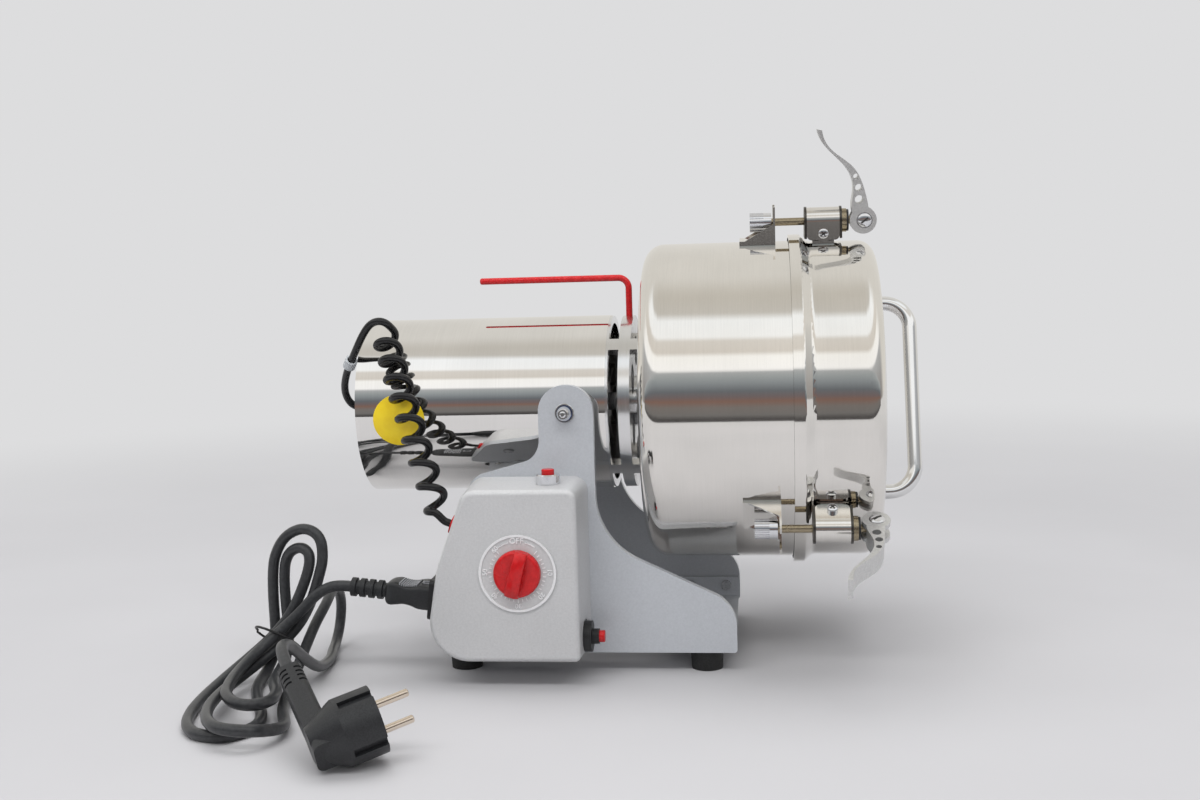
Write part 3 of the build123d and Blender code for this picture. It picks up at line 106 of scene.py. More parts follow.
room_colour = tint("#DDDDDE")
table_colour = tint("#C1C0C2")
table_paint, tree, skin, place = fresh("matt_table_paint")
mottle = add(tree, "TexNoise", Vector=place, Scale=3.0, Detail=4.0)
paint = ramp(tree, mottle.outputs["Fac"], [(0.3, tint("#BCBBBD")), (0.7, table_colour)])
tree.links.new(paint, skin.inputs["Base Color"])
skin.inputs["Roughness"].default_value = 0.75
skin.inputs["Specular IOR Level"].default_value = 0.25
far = add(tree, "VectorMath", operation="LENGTH", i0=place)
fade = add(tree, "MapRange", interpolation_type="SMOOTHSTEP", Value=far.outputs["Value"],
           From_Min=0.45, From_Max=1.7)
glow = add(tree, "Emission", Color=room_colour, Strength=1.0)
joined = add(tree, "MixShader", i0=fade.outputs["Result"], i1=skin.outputs["BSDF"], i2=glow.outputs[0])
tree.links.new(joined.outputs["Shader"], tree.nodes["Material Output"].inputs["Surface"])
bpy.ops.mesh.primitive_circle_add(vertices=96, radius=30.0, fill_type="NGON")
table_top = bpy.context.object
table_top.name = "table_top"
table_top.data.materials.append(table_paint)

world = bpy.data.worlds.new("white_room")
bpy.context.scene.world = world
world.use_nodes = True
tree = world.node_tree
way = add(tree, "SeparateXYZ", Vector=tree.nodes.new("ShaderNodeTexCoord").outputs["Generated"])
height = add(tree, "MapRange", Value=way.outputs["Z"], From_Min=-1.0, From_Max=1.0).outputs["Result"]
window_wall = ramp(tree, height, [
    (0.500, tint("#8A8684")),
    (0.700, tint("#B4B6B8")),
    (0.720, tint("#FFFFFF")),
    (0.790, tint("#FFFFFD")),
    (0.812, tint("#DAD5CE")),
    (0.866, tint("#DEDAD4")),
    (0.884, tint("#FCFEFF")),
    (0.946, tint("#FAFDFF")),
    (0.966, tint("#CAC7C1")),
    (1.000, tint("#C6C2BA")),
])
behind = add(tree, "MapRange", interpolation_type="SMOOTHSTEP", Value=way.outputs["Y"],
             From_Min=-0.15, From_Max=0.3)
walls = add(tree, "MixRGB", Fac=behind.outputs["Result"], Color1=window_wall, Color2=tint("#DAD8D3"))
mirrored = add(tree, "Background", Color=walls.outputs["Color"], Strength=1.06)
shown = add(tree, "Background", Color=room_colour, Strength=1.0)
sky = ramp(tree, height, [(0.45, tint("#55575A")), (0.62, tint("#A8AAAD")), (0.95, tint("#FDFEFF"))])
light = add(tree, "Background", Color=sky, Strength=0.72)
seen = add(tree, "LightPath")
direct = add(tree, "Math", operation="MAXIMUM", i0=seen.outputs["Is Camera Ray"])
tree.links.new(seen.outputs["Is Transmission Ray"], direct.inputs[1])
joined = add(tree, "MixShader", i0=direct.outputs[0], i1=light.outputs[0], i2=shown.outputs[0])
glossy = seen.outputs["Is Glossy Ray"]
joined = add(tree, "MixShader", i0=glossy, i1=joined.outputs[0], i2=mirrored.outputs[0])
tree.links.new(joined.outputs["Shader"], tree.nodes["World Output"].inputs["Surface"])


# Studio lamps: two long soft boxes on the camera's side, one high and one low, and a wide one overhead.
# A dark cloth stands 1 m before the machine, and bright metal shows it as the dark band along its middle.
# Lamps are left out of reflections, where the room's windows show instead, and the cloth is only there.
def soft_box(name, centre, aim, width, height, power):
    """A rectangular lamp that faces a point."""
    lamp = bpy.data.lights.new(name, "AREA")
    lamp.shape = "RECTANGLE"
    lamp.size = width
    lamp.size_y = height
    lamp.energy = power
    stand = bpy.data.objects.new(name, lamp)
    stand.location = centre
    stand.rotation_euler = (Vector(aim) - Vector(centre)).to_track_quat("-Z", "Y").to_euler()
    stand.visible_glossy = False
    bpy.context.scene.collection.objects.link(stand)


soft_box("high_soft_box", (0.0, -1.55, 2.0), (0.0, 0.0, 0.15), width=3.4, height=0.45, power=32.0)
soft_box("low_soft_box", (0.0, -2.3, 1.03), (0.0, 0.0, 0.15), width=4.2, height=0.3, power=12.0)
soft_box("top_soft_box", (-0.2, 0.35, 2.6), (0.0, 0.0, 0.1), width=2.4, height=1.8, power=34.0)
cloth_paint, tree, _, place = fresh("dark_studio_cloth")
weave = add(tree, "TexNoise", Vector=place, Scale=2.2, Detail=3.0)
drop = add(tree, "SeparateXYZ", Vector=place)
drop = add(tree, "MapRange", Value=drop.outputs["Z"], From_Min=0.0, From_Max=0.62)
streak = add(tree, "Math", operation="MULTIPLY_ADD", i0=weave.outputs["Fac"], i1=0.06)
tree.links.new(drop.outputs["Result"], streak.inputs[2])
fall = ramp(tree, streak.outputs[0], [
    (0.00, tint("#4A4848")),
    (0.08, tint("#504E4E")),
    (0.16, tint("#777574")),
    (0.30, tint("#7C7673")),
    (0.41, tint("#83685E")),
    (0.49, tint("#74696A")),
    (0.60, tint("#6C7075")),
    (0.76, tint("#8E9498")),
    (0.88, tint("#A0A6A8")),
    (1.00, tint("#B2B5B7")),
])
glow = add(tree, "Emission", Color=fall, Strength=1.0)
tree.links.new(glow.outputs["Emission"], tree.nodes["Material Output"].inputs["Surface"])
hung = bpy.data.meshes.new("dark_cloth")
cloth_half = 4.0
cloth_y = -1.0
cloth_top = 0.6
cloth_corners = [
    (-cloth_half, cloth_y, 0.0),
    (cloth_half, cloth_y, 0.0),
    (cloth_half, cloth_y, cloth_top),
    (-cloth_half, cloth_y, cloth_top),
]
hung.from_pydata(cloth_corners, [], [(0, 1, 2, 3)])
hung.materials.append(cloth_paint)
dark_cloth = bpy.data.objects.new("dark_cloth", hung)
bpy.context.scene.collection.objects.link(dark_cloth)
for kind in ("visible_camera", "visible_diffuse", "visible_shadow", "visible_transmission"):
    setattr(dark_cloth, kind, False)

# Camera at the photograph's viewing angle, 0.93 m before the machine and a little above the drum's axis.
# Places in this file are in millimetres from the tilt axis and the table, moved into the part's own frame.
tilt_axis = Vector(frame["joints"][0]["pos_m"])
drum_height = 1000 * tilt_axis.z


def at(x, y, z):
    """A place in the part's frame, in metres."""
    return tilt_axis + Vector((x, y, z - drum_height)) / 1000


def from_axis(spot):
    """A place in the part's frame as millimetres from the tilt axis and the table."""
    return (spot - tilt_axis) * 1000 + Vector((0.0, 0.0, drum_height))


yaw, pitch, roll = -0.1162, -0.0953, -0.0285
forward = Vector((sin(yaw) * cos(pitch), cos(yaw) * cos(pitch), sin(pitch)))
level = Vector((cos(yaw), -sin(yaw), 0.0))
upward = level.cross(forward)
right = level * cos(roll) + upward * sin(roll)
top = upward * cos(roll) - level * sin(roll)
lens = bpy.data.cameras.new("camera")
lens.sensor_width = 36.0
lens.lens = 40.93
camera = bpy.data.objects.new("camera", lens)
turned = Matrix((right, top, -forward)).transposed().to_4x4()
camera_place = at(121.63, -921.12, drum_height + 89.44)
camera.matrix_world = Matrix.Translation(camera_place) @ turned
bpy.context.scene.collection.objects.link(camera)
bpy.context.scene.camera = camera
bpy.context.scene.view_settings.view_transform = "Standard"


# Stand: two cast side walls and the floor frame between them, held by screws through the frame's flanges.
# Grey stoving enamel with a fine metal flake, sprayed, which gives a soft sheen and a slight orange peel.
def finish(material, *names):
    """Give whole CAD nodes one material."""
    for name in names:
        nodes[name].data.materials.clear()
        nodes[name].data.materials.append(material)


def finish_faces(name, material, chosen):
    """Give those faces of a CAD node a material whose middles the test picks."""
    mesh = nodes[name].data
    mesh.materials.append(material)
    for face in mesh.polygons:
        if chosen(from_axis(face.center)):
            face.material_index = len(mesh.materials) - 1


def flake_enamel(name, dark, pale, peel_mm, roughness):
    """Sprayed enamel: flake grains and cloudy spread in the colour, orange peel in the surface."""
    material, tree, skin, place = fresh(name)
    grain = add(tree, "TexNoise", Vector=place, Scale=1000 / 1.3, Detail=2.0)
    cloud = add(tree, "TexNoise", Vector=place, Scale=1000 / 70.0, Detail=3.0)
    spread = add(tree, "Math", operation="MULTIPLY_ADD", i0=cloud.outputs["Fac"], i1=0.45, i2=0.05)
    both = add(tree, "Math", operation="MULTIPLY_ADD", i0=grain.outputs["Fac"], i1=0.5,
               i2=spread.outputs[0])
    paint = ramp(tree, both.outputs[0], [(0.3, tint(dark)), (0.75, tint(pale))])
    tree.links.new(paint, skin.inputs["Base Color"])
    peel = add(tree, "TexNoise", Vector=place, Scale=1000 / peel_mm, Detail=1.0)
    bump = add(tree, "Bump", Strength=0.12, Distance=0.0002, Height=peel.outputs["Fac"])
    tree.links.new(bump.outputs["Normal"], skin.inputs["Normal"])
    skin.inputs["Metallic"].default_value = 0.15
    skin.inputs["Roughness"].default_value = roughness
    skin.inputs["Coat Weight"].default_value = 0.15
    skin.inputs["Coat Roughness"].default_value = 0.25
    return material


stand_enamel = flake_enamel("grey_stoving_enamel", "#B0B3B8", "#C0C3C8", 1.6, 0.42)
finish(stand_enamel, "front_side_wall", "rear_side_wall", "base_floor")


# Rubber feet and the screws of the stand: turned black rubber with a sunk screw each.
# Matt natural rubber with dust on it, and zinc-plated steel with a faint cloudy lustre.
def plain_grain(name, dark, pale, grain_mm, depth_mm, roughness, metal=0.0):
    """A moulded or plated surface: fine grain in colour, roughness and relief."""
    material, tree, skin, place = fresh(name)
    grain = add(tree, "TexNoise", Vector=place, Scale=1000 / grain_mm, Detail=4.0)
    paint = ramp(tree, grain.outputs["Fac"], [(0.3, tint(dark)), (0.7, tint(pale))])
    tree.links.new(paint, skin.inputs["Base Color"])
    wear = add(tree, "TexNoise", Vector=place, Scale=1000 / (grain_mm * 14), Detail=3.0)
    shine = add(tree, "MapRange", Value=wear.outputs["Fac"], From_Min=0.3, From_Max=0.7)
    shine.inputs["To Min"].default_value = roughness * 0.82
    shine.inputs["To Max"].default_value = min(1.0, roughness * 1.18)
    tree.links.new(shine.outputs["Result"], skin.inputs["Roughness"])
    bump = add(tree, "Bump", Strength=0.35, Distance=depth_mm / 1000, Height=grain.outputs["Fac"])
    tree.links.new(bump.outputs["Normal"], skin.inputs["Normal"])
    skin.inputs["Metallic"].default_value = metal
    return material


foot_rubber = plain_grain("matt_black_rubber", "#151515", "#262626", 0.9, 0.05, 0.62)
zinc_plate = plain_grain("zinc_plated_steel", "#A7A8AA", "#C9CACC", 1.2, 0.01, 0.26, 1.0)
finish(foot_rubber, "rubber_feet")
finish(zinc_plate, "stand_screws", "pivot_studs", "timer_movement")

# Control box: a drawn cover in lighter silver enamel, screwed to the front wall.
# The dial's rim, ticks, numbers and the word OFF stand up from the cover and are painted lighter than it, as
# painted highlight on the raised relief.
cover_enamel = flake_enamel("silver_stoving_enamel", "#BABABB", "#CDCDCE", 1.4, 0.38)
finish(cover_enamel, "control_box")
# Paler enamel for the dial's relief: painted highlight, not a different paint.
highlight_enamel = flake_enamel("highlight_painted_silver_enamel", "#DADADC", "#ECECED", 1.4, 0.34)
dial_x = -26.2
dial_y = -114.75
dial_z = 73.9
dial_middle = Vector((dial_x, dial_z))
rim_inner = 22.2
rim_outer = 23.9
scale_start = 42
scale_sweep = 276
tick_steps = 30
word_radius = 20.0
letter_scale = 1.38


def on_dial_rim(spot):
    """Whether a place is on the narrow raised rim round the dial."""
    reach = (Vector((spot.x, spot.z)) - dial_middle).length
    return spot.y < dial_y - 0.1 and rim_inner < reach < rim_outer


# The rim's raised faces get the paler enamel as a painted highlight along the rim.
finish_faces("control_box", highlight_enamel, on_dial_rim)
dial_marks = bmesh.new()


def mark_block(half_wide, half_tall, radius, turn):
    """A raised tick on the dial, turned clockwise from the top."""
    corners = []
    angle = radians(turn)
    for depth in (0.06, -0.6):
        for side, end in ((-1, -1), (1, -1), (1, 1), (-1, 1)):
            w = side * half_wide
            t = end * half_tall
            x = w * cos(angle) + (radius + t) * sin(angle)
            z = -w * sin(angle) + (radius + t) * cos(angle)
            corners.append(dial_marks.verts.new(at(dial_x + x, dial_y + depth, dial_z + z)))
    for face in ((4, 5, 6, 7), (0, 4, 7, 3), (1, 2, 6, 5), (0, 1, 5, 4), (3, 7, 6, 2)):
        dial_marks.faces.new([corners[i] for i in face])


def new_piece(name, shape, *materials):
    """A piece from a finished bmesh, with its materials in order."""
    mesh = bpy.data.meshes.new(name)
    shape.to_mesh(mesh)
    shape.free()
    for material in materials:
        mesh.materials.append(material)
    piece = bpy.data.objects.new(name, mesh)
    bpy.context.scene.collection.objects.link(piece)
    return piece


for step in range(tick_steps + 1):
    half_tall, radius = (1.3, 17.2) if step % 5 == 0 else (0.9, 16.8)
    mark_block(0.3, half_tall, radius, scale_start + scale_sweep * step / tick_steps)
for turn in (*range(16, 36, 2), *range(326, 346, 2)):
    mark_block(half_wide=0.36, half_tall=0.3, radius=19.6, turn=turn)
dial_ticks = new_piece("dial_marks", dial_marks, highlight_enamel)
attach(dial_ticks, "base")
words = [("OFF", 0.0, 3.6)]
words += [(str(10 * n), scale_start + scale_sweep * n / 6, 3.0) for n in range(1, 7)]
for word, turn, tall in words:
    letters = bpy.data.curves.new("dial_" + word, "FONT")
    letters.body = word
    letters.size = tall * letter_scale / 1000
    letters.align_x = "CENTER"
    letters.align_y = "CENTER"
    letters.extrude = 0.0005
    letters.bevel_depth = 0.0001
    drawn = bpy.data.objects.new("dial_" + word, letters)
    angle = radians(turn)
    drawn.location = at(dial_x + word_radius * sin(angle), dial_y - 0.1, dial_z + word_radius * cos(angle))
    drawn.rotation_euler = (pi / 2, angle, 0.0)
    drawn.rotation_mode = "XYZ"
    bpy.context.scene.collection.objects.link(drawn)
    bpy.context.view_layer.update()
    solid = bpy.data.meshes.new_from_object(drawn.evaluated_get(bpy.context.evaluated_depsgraph_get()))
    solid.transform(drawn.matrix_world)
    bpy.data.objects.remove(drawn)
    solid.materials.append(highlight_enamel)
    raised_word = bpy.data.objects.new("dial_word_" + word, solid)
    bpy.context.scene.collection.objects.link(raised_word)
    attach(raised_word, "base")

# Timer knob, start button, reset button and lead grommet: bright red glossy ABS mouldings.
# The knob is a dished disc with a raised grip across it, pushed on the timer's shaft.
# The start button sits in a chromed collar on top of the box.
red_abs = plain_grain("glossy_red_abs", "#B40A10", "#C81419", 2.5, 0.02, 0.24)
finish(red_abs, "start_button", "reset_button", "lead_grommet")
knob = bmesh.new()
knob_turn = radians(15.0)
knob_back = dial_y - 0.3
knob_radius = 14.6
knob_profile = ((14.6, 0.0), (14.6, 2.2), (14.3, 3.6), (13.5, 4.4), (12.4, 4.5), (6.0, 3.5), (0.6, 3.2))
knob_spokes = 64
grip_reach = 14.3
grip_half_width = 4.3
grip_taper = 0.02
grip_height = 9.6
grip_fall = 3.4
grip_steps = 24


def knob_spot(across, out, up):
    """A place on the knob: across its grip, out of the box, and up along the grip."""
    x = across * cos(knob_turn) + up * sin(knob_turn)
    z = up * cos(knob_turn) - across * sin(knob_turn)
    return knob.verts.new(at(dial_x + x, knob_back - out, dial_z + z))


knob_rows = []
spoke_turns = [2 * pi * spoke / knob_spokes for spoke in range(knob_spokes)]
for reach, out in knob_profile:
    knob_rows.append([knob_spot(reach * cos(turn), out, reach * sin(turn)) for turn in spoke_turns])
for low, high in zip(knob_rows, knob_rows[1:]):
    for spoke in range(knob_spokes):
        knob.faces.new((low[spoke - 1], low[spoke], high[spoke], high[spoke - 1]))
knob.faces.new(knob_rows[-1])
grip_rows = []
for step in range(grip_steps + 1):
    up = grip_reach * sin(pi * (step / grip_steps - 0.5))
    half = min(grip_half_width - grip_taper * up, (knob_radius ** 2 - up ** 2) ** 0.5)
    crest = grip_height - grip_fall * abs(up / grip_reach) ** 3
    section = [(-half, 3.0), (-half + 0.15, crest - 1.3), (-half + 0.5, crest - 0.4), (-half + 1.2, crest)]
    section += [(0.0, crest + 0.15)]
    section += [(-across, out) for across, out in reversed(section[:4])]
    grip_rows.append([knob_spot(across, out, up) for across, out in section])
for low, high in zip(grip_rows, grip_rows[1:]):
    for k in range(8):
        knob.faces.new((low[k], low[k + 1], high[k + 1], high[k]))
for row in (grip_rows[0], grip_rows[-1]):
    knob.faces.new(row)
bmesh.ops.recalc_face_normals(knob, faces=knob.faces)
red_knob = new_piece("red_knob", knob, red_abs)
red_knob.data.shade_smooth()
red_knob.data.set_sharp_from_angle(angle=radians(50.0))
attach(red_knob, "timer")
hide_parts("timer_knob")


def bright_plate(name, pale, dark, roughness, lines_mm, wave=0.0):
    """Bright metal with fine polishing lines that run round the drum, and slow waves in the sheet."""
    material, tree, skin, place = fresh(name)
    along = 1000 / lines_mm
    stretched = add(tree, "Mapping", Vector=place, Scale=(along, along / 60, along / 60))
    lines = add(tree, "TexNoise", Vector=stretched.outputs["Vector"], Detail=5.0, Roughness=0.65)
    lines.inputs["Scale"].default_value = 1.0
    cloud = add(tree, "TexNoise", Vector=place, Scale=1000 / 45.0, Detail=3.0)
    tone = add(tree, "Math", operation="MULTIPLY", i0=cloud.outputs["Fac"], i1=0.6)
    tone = add(tree, "Math", operation="MULTIPLY_ADD", i0=lines.outputs["Fac"], i1=0.4, i2=tone.outputs[0])
    paint = ramp(tree, tone.outputs[0], [(0.3, tint(dark)), (0.7, tint(pale))])
    tree.links.new(paint, skin.inputs["Base Color"])
    shine = add(tree, "MapRange", Value=lines.outputs["Fac"], From_Min=0.25, From_Max=0.75)
    shine.inputs["To Min"].default_value = roughness * 0.7
    shine.inputs["To Max"].default_value = roughness * 1.3
    tree.links.new(shine.outputs["Result"], skin.inputs["Roughness"])
    swell = add(tree, "TexNoise", Vector=place, Scale=1000 / 60.0, Detail=1.0)
    relief = add(tree, "Math", operation="MULTIPLY_ADD", i0=swell.outputs["Fac"], i1=wave)
    tree.links.new(lines.outputs["Fac"], relief.inputs[2])
    bump = add(tree, "Bump", Strength=0.08, Distance=0.00004, Height=relief.outputs[0])
    tree.links.new(bump.outputs["Normal"], skin.inputs["Normal"])
    skin.inputs["Metallic"].default_value = 1.0
    return material


chrome_plate = bright_plate("bright_chrome_plate", "#E8E9EC", "#DADBDF", 0.06, 0.6)
finish(chrome_plate, "start_switch", "motor_bearings")

# Overload breaker, its ring nut and the power inlet: black glass-filled nylon with a fine moulded grain.
# The breaker's body is inside the box, and its ring nut is fluted for the fingers.
black_nylon = plain_grain("black_moulded_nylon", "#131314", "#232325", 0.7, 0.04, 0.45)
finish(black_nylon, "overload_breaker", "breaker_nut", "power_inlet", "lead_gland", "brush_gear")

# Motor: a mirror-polished stainless tube with a cast rear cap, carried by two bosses in the walls.
# Long polishing lines and faint waves in the sheet bend the reflections a little.
mirror_steel = bright_plate("mirror_polished_stainless", "#F2F0ED", "#E6E4E1", 0.03, 0.9, 30.0)
finish(mirror_steel, "motor_casing")
cast_alloy = plain_grain("bead_blasted_aluminium", "#A9AAAC", "#C6C7C8", 0.8, 0.03, 0.4, 1.0)
finish(cast_alloy, "motor_rear_cap", "pivot_bosses", "cooling_fan")
finish(bright_plate("bright_zinc_plate", "#E2E4E8", "#CFD1D6", 0.12, 0.8), "clamp_screws")
polished_alloy = bright_plate("polished_aluminium", "#EAEAEA", "#DCDCDC", 0.18, 0.8)
finish(polished_alloy, "adapter_ring")

# Motor's inner parts: laminated core steel, enamelled copper windings, copper commutator.
# They show only through the vents, as dark iron and brown copper.
core_steel = plain_grain("laminated_core_steel", "#3A3B3D", "#55565A", 0.5, 0.02, 0.5, 1.0)
finish(core_steel, "stator_core", "rotor_core")
copper_wire = plain_grain("enamelled_copper_wire", "#8A4522", "#B4683A", 0.8, 0.1, 0.35, 0.8)
finish(copper_wire, "stator_windings", "commutator")

# Domed nuts of the tilt axis: a bright plated cap nut on a washer at each wall.
# The narrow groove between the dome and the washer has the blue tint of the plating bath.
blue_plate = bright_plate("blue_passivated_zinc", "#5B78B4", "#3F5C9C", 0.12, 0.5)
nut_reach = (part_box("pivot_nuts")[1][1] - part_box("pivot_nuts")[0][1]) * 500
nut_stack = 6.9
washer_seat = nut_reach - nut_stack
dome_radius = 4.7
dome_foot = 2.6
dome_rise = 7.0
nut_spokes = 40
nut_profile = [(6.2, 0.0), (6.2, 1.1), (5.9, 1.4), (5.2, 1.4), (5.1, 1.2), (dome_radius, 1.2)]
for angle in range(0, 90, 15):
    lean = radians(angle)
    nut_profile.append((dome_radius * cos(lean), dome_foot + dome_rise * sin(lean)))
dome = bmesh.new()
for side in (-1, 1):
    rows = []
    for wide, high in nut_profile:
        y = side * (washer_seat + high)
        row = []
        for spoke in range(nut_spokes):
            turn = 2 * pi * spoke / nut_spokes
            row.append(dome.verts.new(at(wide * cos(turn), y, drum_height + wide * sin(turn))))
        rows.append(row)
    for level, (low, high) in enumerate(zip(rows, rows[1:])):
        for spoke in range(nut_spokes):
            face = dome.faces.new((low[spoke - 1], high[spoke - 1], high[spoke], low[spoke]))
            face.material_index = 1 if level in (3, 4, 5) else 0
            face.smooth = level > 4
    dome.faces.new(rows[-1])
bmesh.ops.recalc_face_normals(dome, faces=dome.faces)
domed_nuts = new_piece("domed_nuts", dome, chrome_plate, blue_plate)
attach(domed_nuts, "grinder")
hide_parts("pivot_nuts")

# Yellow vinyl disc stuck on the motor tube: plain colour film with a satin face.
# It follows the tube's curve, a hair above it, and its edge turns down onto the metal.
vinyl, tree, skin, place = fresh("yellow_vinyl_film")
film = add(tree, "TexNoise", Vector=place, Scale=1000 / 6.0, Detail=3.0)
paint = ramp(tree, film.outputs["Fac"], [(0.3, tint("#EECB1C")), (0.7, tint("#F6D826"))])
tree.links.new(paint, skin.inputs["Base Color"])
skin.inputs["Roughness"].default_value = 0.38
tube_radius = 58.5
disc_x = -111.4
disc_turn = -4.6
disc_radius = 17.2
disc_rings = 8
disc_spokes = 64
film_lift = 0.16
edge_lift = 0.04
disc = bmesh.new()


def disc_spot(along, around, lift):
    """A place on the disc: along the tube, round it, and off its surface."""
    turn = radians(disc_turn) + around / tube_radius
    reach = tube_radius + lift
    return disc.verts.new(at(disc_x + along, -reach * cos(turn), drum_height + reach * sin(turn)))


rings = []
for ring in range(1, disc_rings + 1):
    reach = disc_radius * ring / disc_rings
    lift = film_lift if ring < disc_rings else edge_lift
    turns = [2 * pi * spoke / disc_spokes for spoke in range(disc_spokes)]
    rings.append([disc_spot(reach * cos(turn), reach * sin(turn), lift) for turn in turns])
middle = disc_spot(0.0, 0.0, film_lift)
for spoke in range(disc_spokes):
    disc.faces.new((middle, rings[0][spoke - 1], rings[0][spoke]))
    for inner, outer in zip(rings, rings[1:]):
        disc.faces.new((inner[spoke - 1], outer[spoke - 1], outer[spoke], inner[spoke]))
bmesh.ops.recalc_face_normals(disc, faces=disc.faces)
yellow_disc = new_piece("yellow_disc", disc, vinyl)
yellow_disc.data.shade_smooth()
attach(yellow_disc, "grinder")

# Tilt bar: a bent steel bar fixed at the adapter ring, with which the machine is tipped.
# It is dipped in red vinyl, which leaves a glossy, slightly uneven skin.
red_dip = plain_grain("red_dip_coat", "#BC1218", "#CE2024", 4.0, 0.06, 0.26)
finish(red_dip, "tilt_bar")

# Rotor shaft, blades and their fixings: turned and ground stainless steel, inside the motor and the bowl.
# The timer's shaft has the same finish.
ground_steel = bright_plate("ground_stainless", "#BDBEC0", "#9C9DA0", 0.24, 0.5)
finish(ground_steel, "rotor_shaft", "grinding_blades", "blade_fixings", "timer_shaft")

# Bowl, lid and lid handle: deep-drawn stainless, brushed round the drum with a fine belt.
# The brushing blurs what it reflects into long bands.
# The handle is polished bar, and the gasket under the lid is white silicone rubber.
brushed_steel = bright_plate("brushed_drawn_stainless", "#F2EFEA", "#E4E1DC", 0.06, 0.45, 8.0)
finish(brushed_steel, "bowl", "lid")
bar_steel = bright_plate("polished_stainless_bar", "#EEEEEE", "#E2E2E2", 0.07, 7.0)
finish(bar_steel, "lid_handle")
finish(plain_grain("white_silicone_rubber", "#DAD8D2", "#E8E6E0", 1.0, 0.03, 0.5), "lid_gasket")

# Clamps: folded stainless brackets and straps, brass-washed rods, knurled nuts and satin aluminium levers.
# Each rod carries a brass bush and a black pad where the lever's cam presses.
folded_steel = bright_plate("folded_bright_stainless", "#ECE9E4", "#DAD7D2", 0.1, 0.5)
finish(folded_steel, "catch_brackets", "lid_ears")
satin_alloy = plain_grain("satin_aluminium", "#D0D0CF", "#E0E0DF", 1.2, 0.004, 0.42, 0.85)
brass_wash = plain_grain("brass_washed_steel", "#8F8470", "#B5A88E", 0.6, 0.03, 0.24, 1.0)
dark_plate = plain_grain("dark_plated_steel", "#4A4845", "#66635F", 0.6, 0.02, 0.3, 1.0)
barrel_back = 154.55
barrel_front = 175.55
pad_back = 180.15
pad_front = 181.6
rod_head = 184.0
for number in (1, 2, 3):
    finish(folded_steel, f"clamp_strap_{number}")
    finish_faces(f"clamp_strap_{number}", dark_plate, lambda spot: not barrel_back <= spot.x <= barrel_front)
    finish(brass_wash, f"clamp_rod_{number}")
    finish_faces(f"clamp_rod_{number}", black_nylon, lambda spot: pad_back < spot.x < pad_front)
    finish_faces(f"clamp_rod_{number}", chrome_plate, lambda spot: spot.x > rod_head)
    finish(satin_alloy, f"clamp_lever_{number}")
    finish(chrome_plate, f"clamp_nut_{number}")

# Heads on the clamps' screws and pins: round-headed, with a crossed or a straight driving slot.
# Bright zinc-plated steel; the slots are dark with the shade and dirt that gather in them.
slot_shade = plain_grain("shaded_screw_slot", "#2A2928", "#3C3A38", 0.4, 0.01, 0.6)
head_zinc = bright_plate("bright_plated_screw", "#EDEEF0", "#DCDDE0", 0.1, 0.5)
head_spokes = 24
slot_turn = 38
slot_long = 0.62
slot_wide = 0.13


def round_head(mesh, centre, outward, radius, rise, slots):
    """A domed screw head that sits on a flat face, with slots across it."""
    up = Vector((1.0, 0.0, 0.0))
    beside = outward.cross(up).normalized()
    rows = []
    for level in range(5):
        lean = radians(18 * level)
        row = []
        for spoke in range(head_spokes):
            turn = 2 * pi * spoke / head_spokes
            flat = up * cos(turn) + beside * sin(turn)
            spot = centre + flat * radius * cos(lean) + outward * rise * sin(lean)
            row.append(mesh.verts.new(at(*spot)))
        rows.append(row)
    for low, high in zip(rows, rows[1:]):
        for spoke in range(head_spokes):
            mesh.faces.new((low[spoke - 1], low[spoke], high[spoke], high[spoke - 1])).smooth = True
    mesh.faces.new(rows[-1]).smooth = True
    for slot in range(slots):
        turn = radians(slot_turn + 90 * slot)
        long_way = up * cos(turn) + beside * sin(turn)
        short_way = beside * cos(turn) - up * sin(turn)
        corners = []
        for lift in (rise * 0.3, rise + 0.04):
            for u, v in ((-1, -1), (1, -1), (1, 1), (-1, 1)):
                flat = long_way * (u * radius * slot_long) + short_way * (v * radius * slot_wide)
                corners.append(mesh.verts.new(at(*(centre + flat + outward * lift))))
        for face in ((4, 5, 6, 7), (0, 4, 5, 1), (1, 5, 6, 2), (2, 6, 7, 3), (3, 7, 4, 0)):
            mesh.faces.new([corners[i] for i in face]).material_index = 1


def screw_piece(name, mesh, body):
    """A finished group of screw heads that rides on a body."""
    bmesh.ops.recalc_face_normals(mesh, faces=mesh.faces)
    piece = new_piece(name, mesh, head_zinc, slot_shade)
    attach(piece, body)


swing_x = 165.05
lever_x = 191.5
ear_radius = 110.5
pin_radius = 117.9
ear_half = 10.78
pin_half = 6.48
swing_heads = bmesh.new()
for number, turn, lean in ((1, 7.0, 0.0), (2, 127.0, -14.0), (3, 247.0, 0.0)):
    turn = radians(turn)
    radial = Vector((0.0, -sin(turn), cos(turn)))
    tangent = Vector((0.0, cos(turn), sin(turn)))
    ear_place = Vector((swing_x, 0.0, drum_height)) + radial * ear_radius
    pin_place = Vector((lever_x, 0.0, drum_height)) + radial * pin_radius
    pin_along = Matrix.Rotation(radians(lean), 3, "X") @ tangent
    pin_heads = bmesh.new()
    for side in (-1, 1):
        ear_face = ear_place + tangent * side * ear_half
        pin_face = pin_place + pin_along * side * pin_half
        round_head(swing_heads, ear_face, tangent * side, radius=3.3, rise=1.0, slots=2)
        round_head(pin_heads, pin_face, pin_along * side, radius=4.6, rise=1.5, slots=1)
    screw_piece(f"lever_pin_heads_{number}", pin_heads, f"clamp_{number}")
screw_piece("swing_screw_heads", swing_heads, "grinder")

# Curly lead: round black PVC flex, straight from the motor's gland over the casing's edge, then wound
# into curls that hang down to the box.
lead_pvc = plain_grain("glossy_black_pvc", "#0E0E0F", "#1B1B1D", 1.6, 0.03, 0.24)


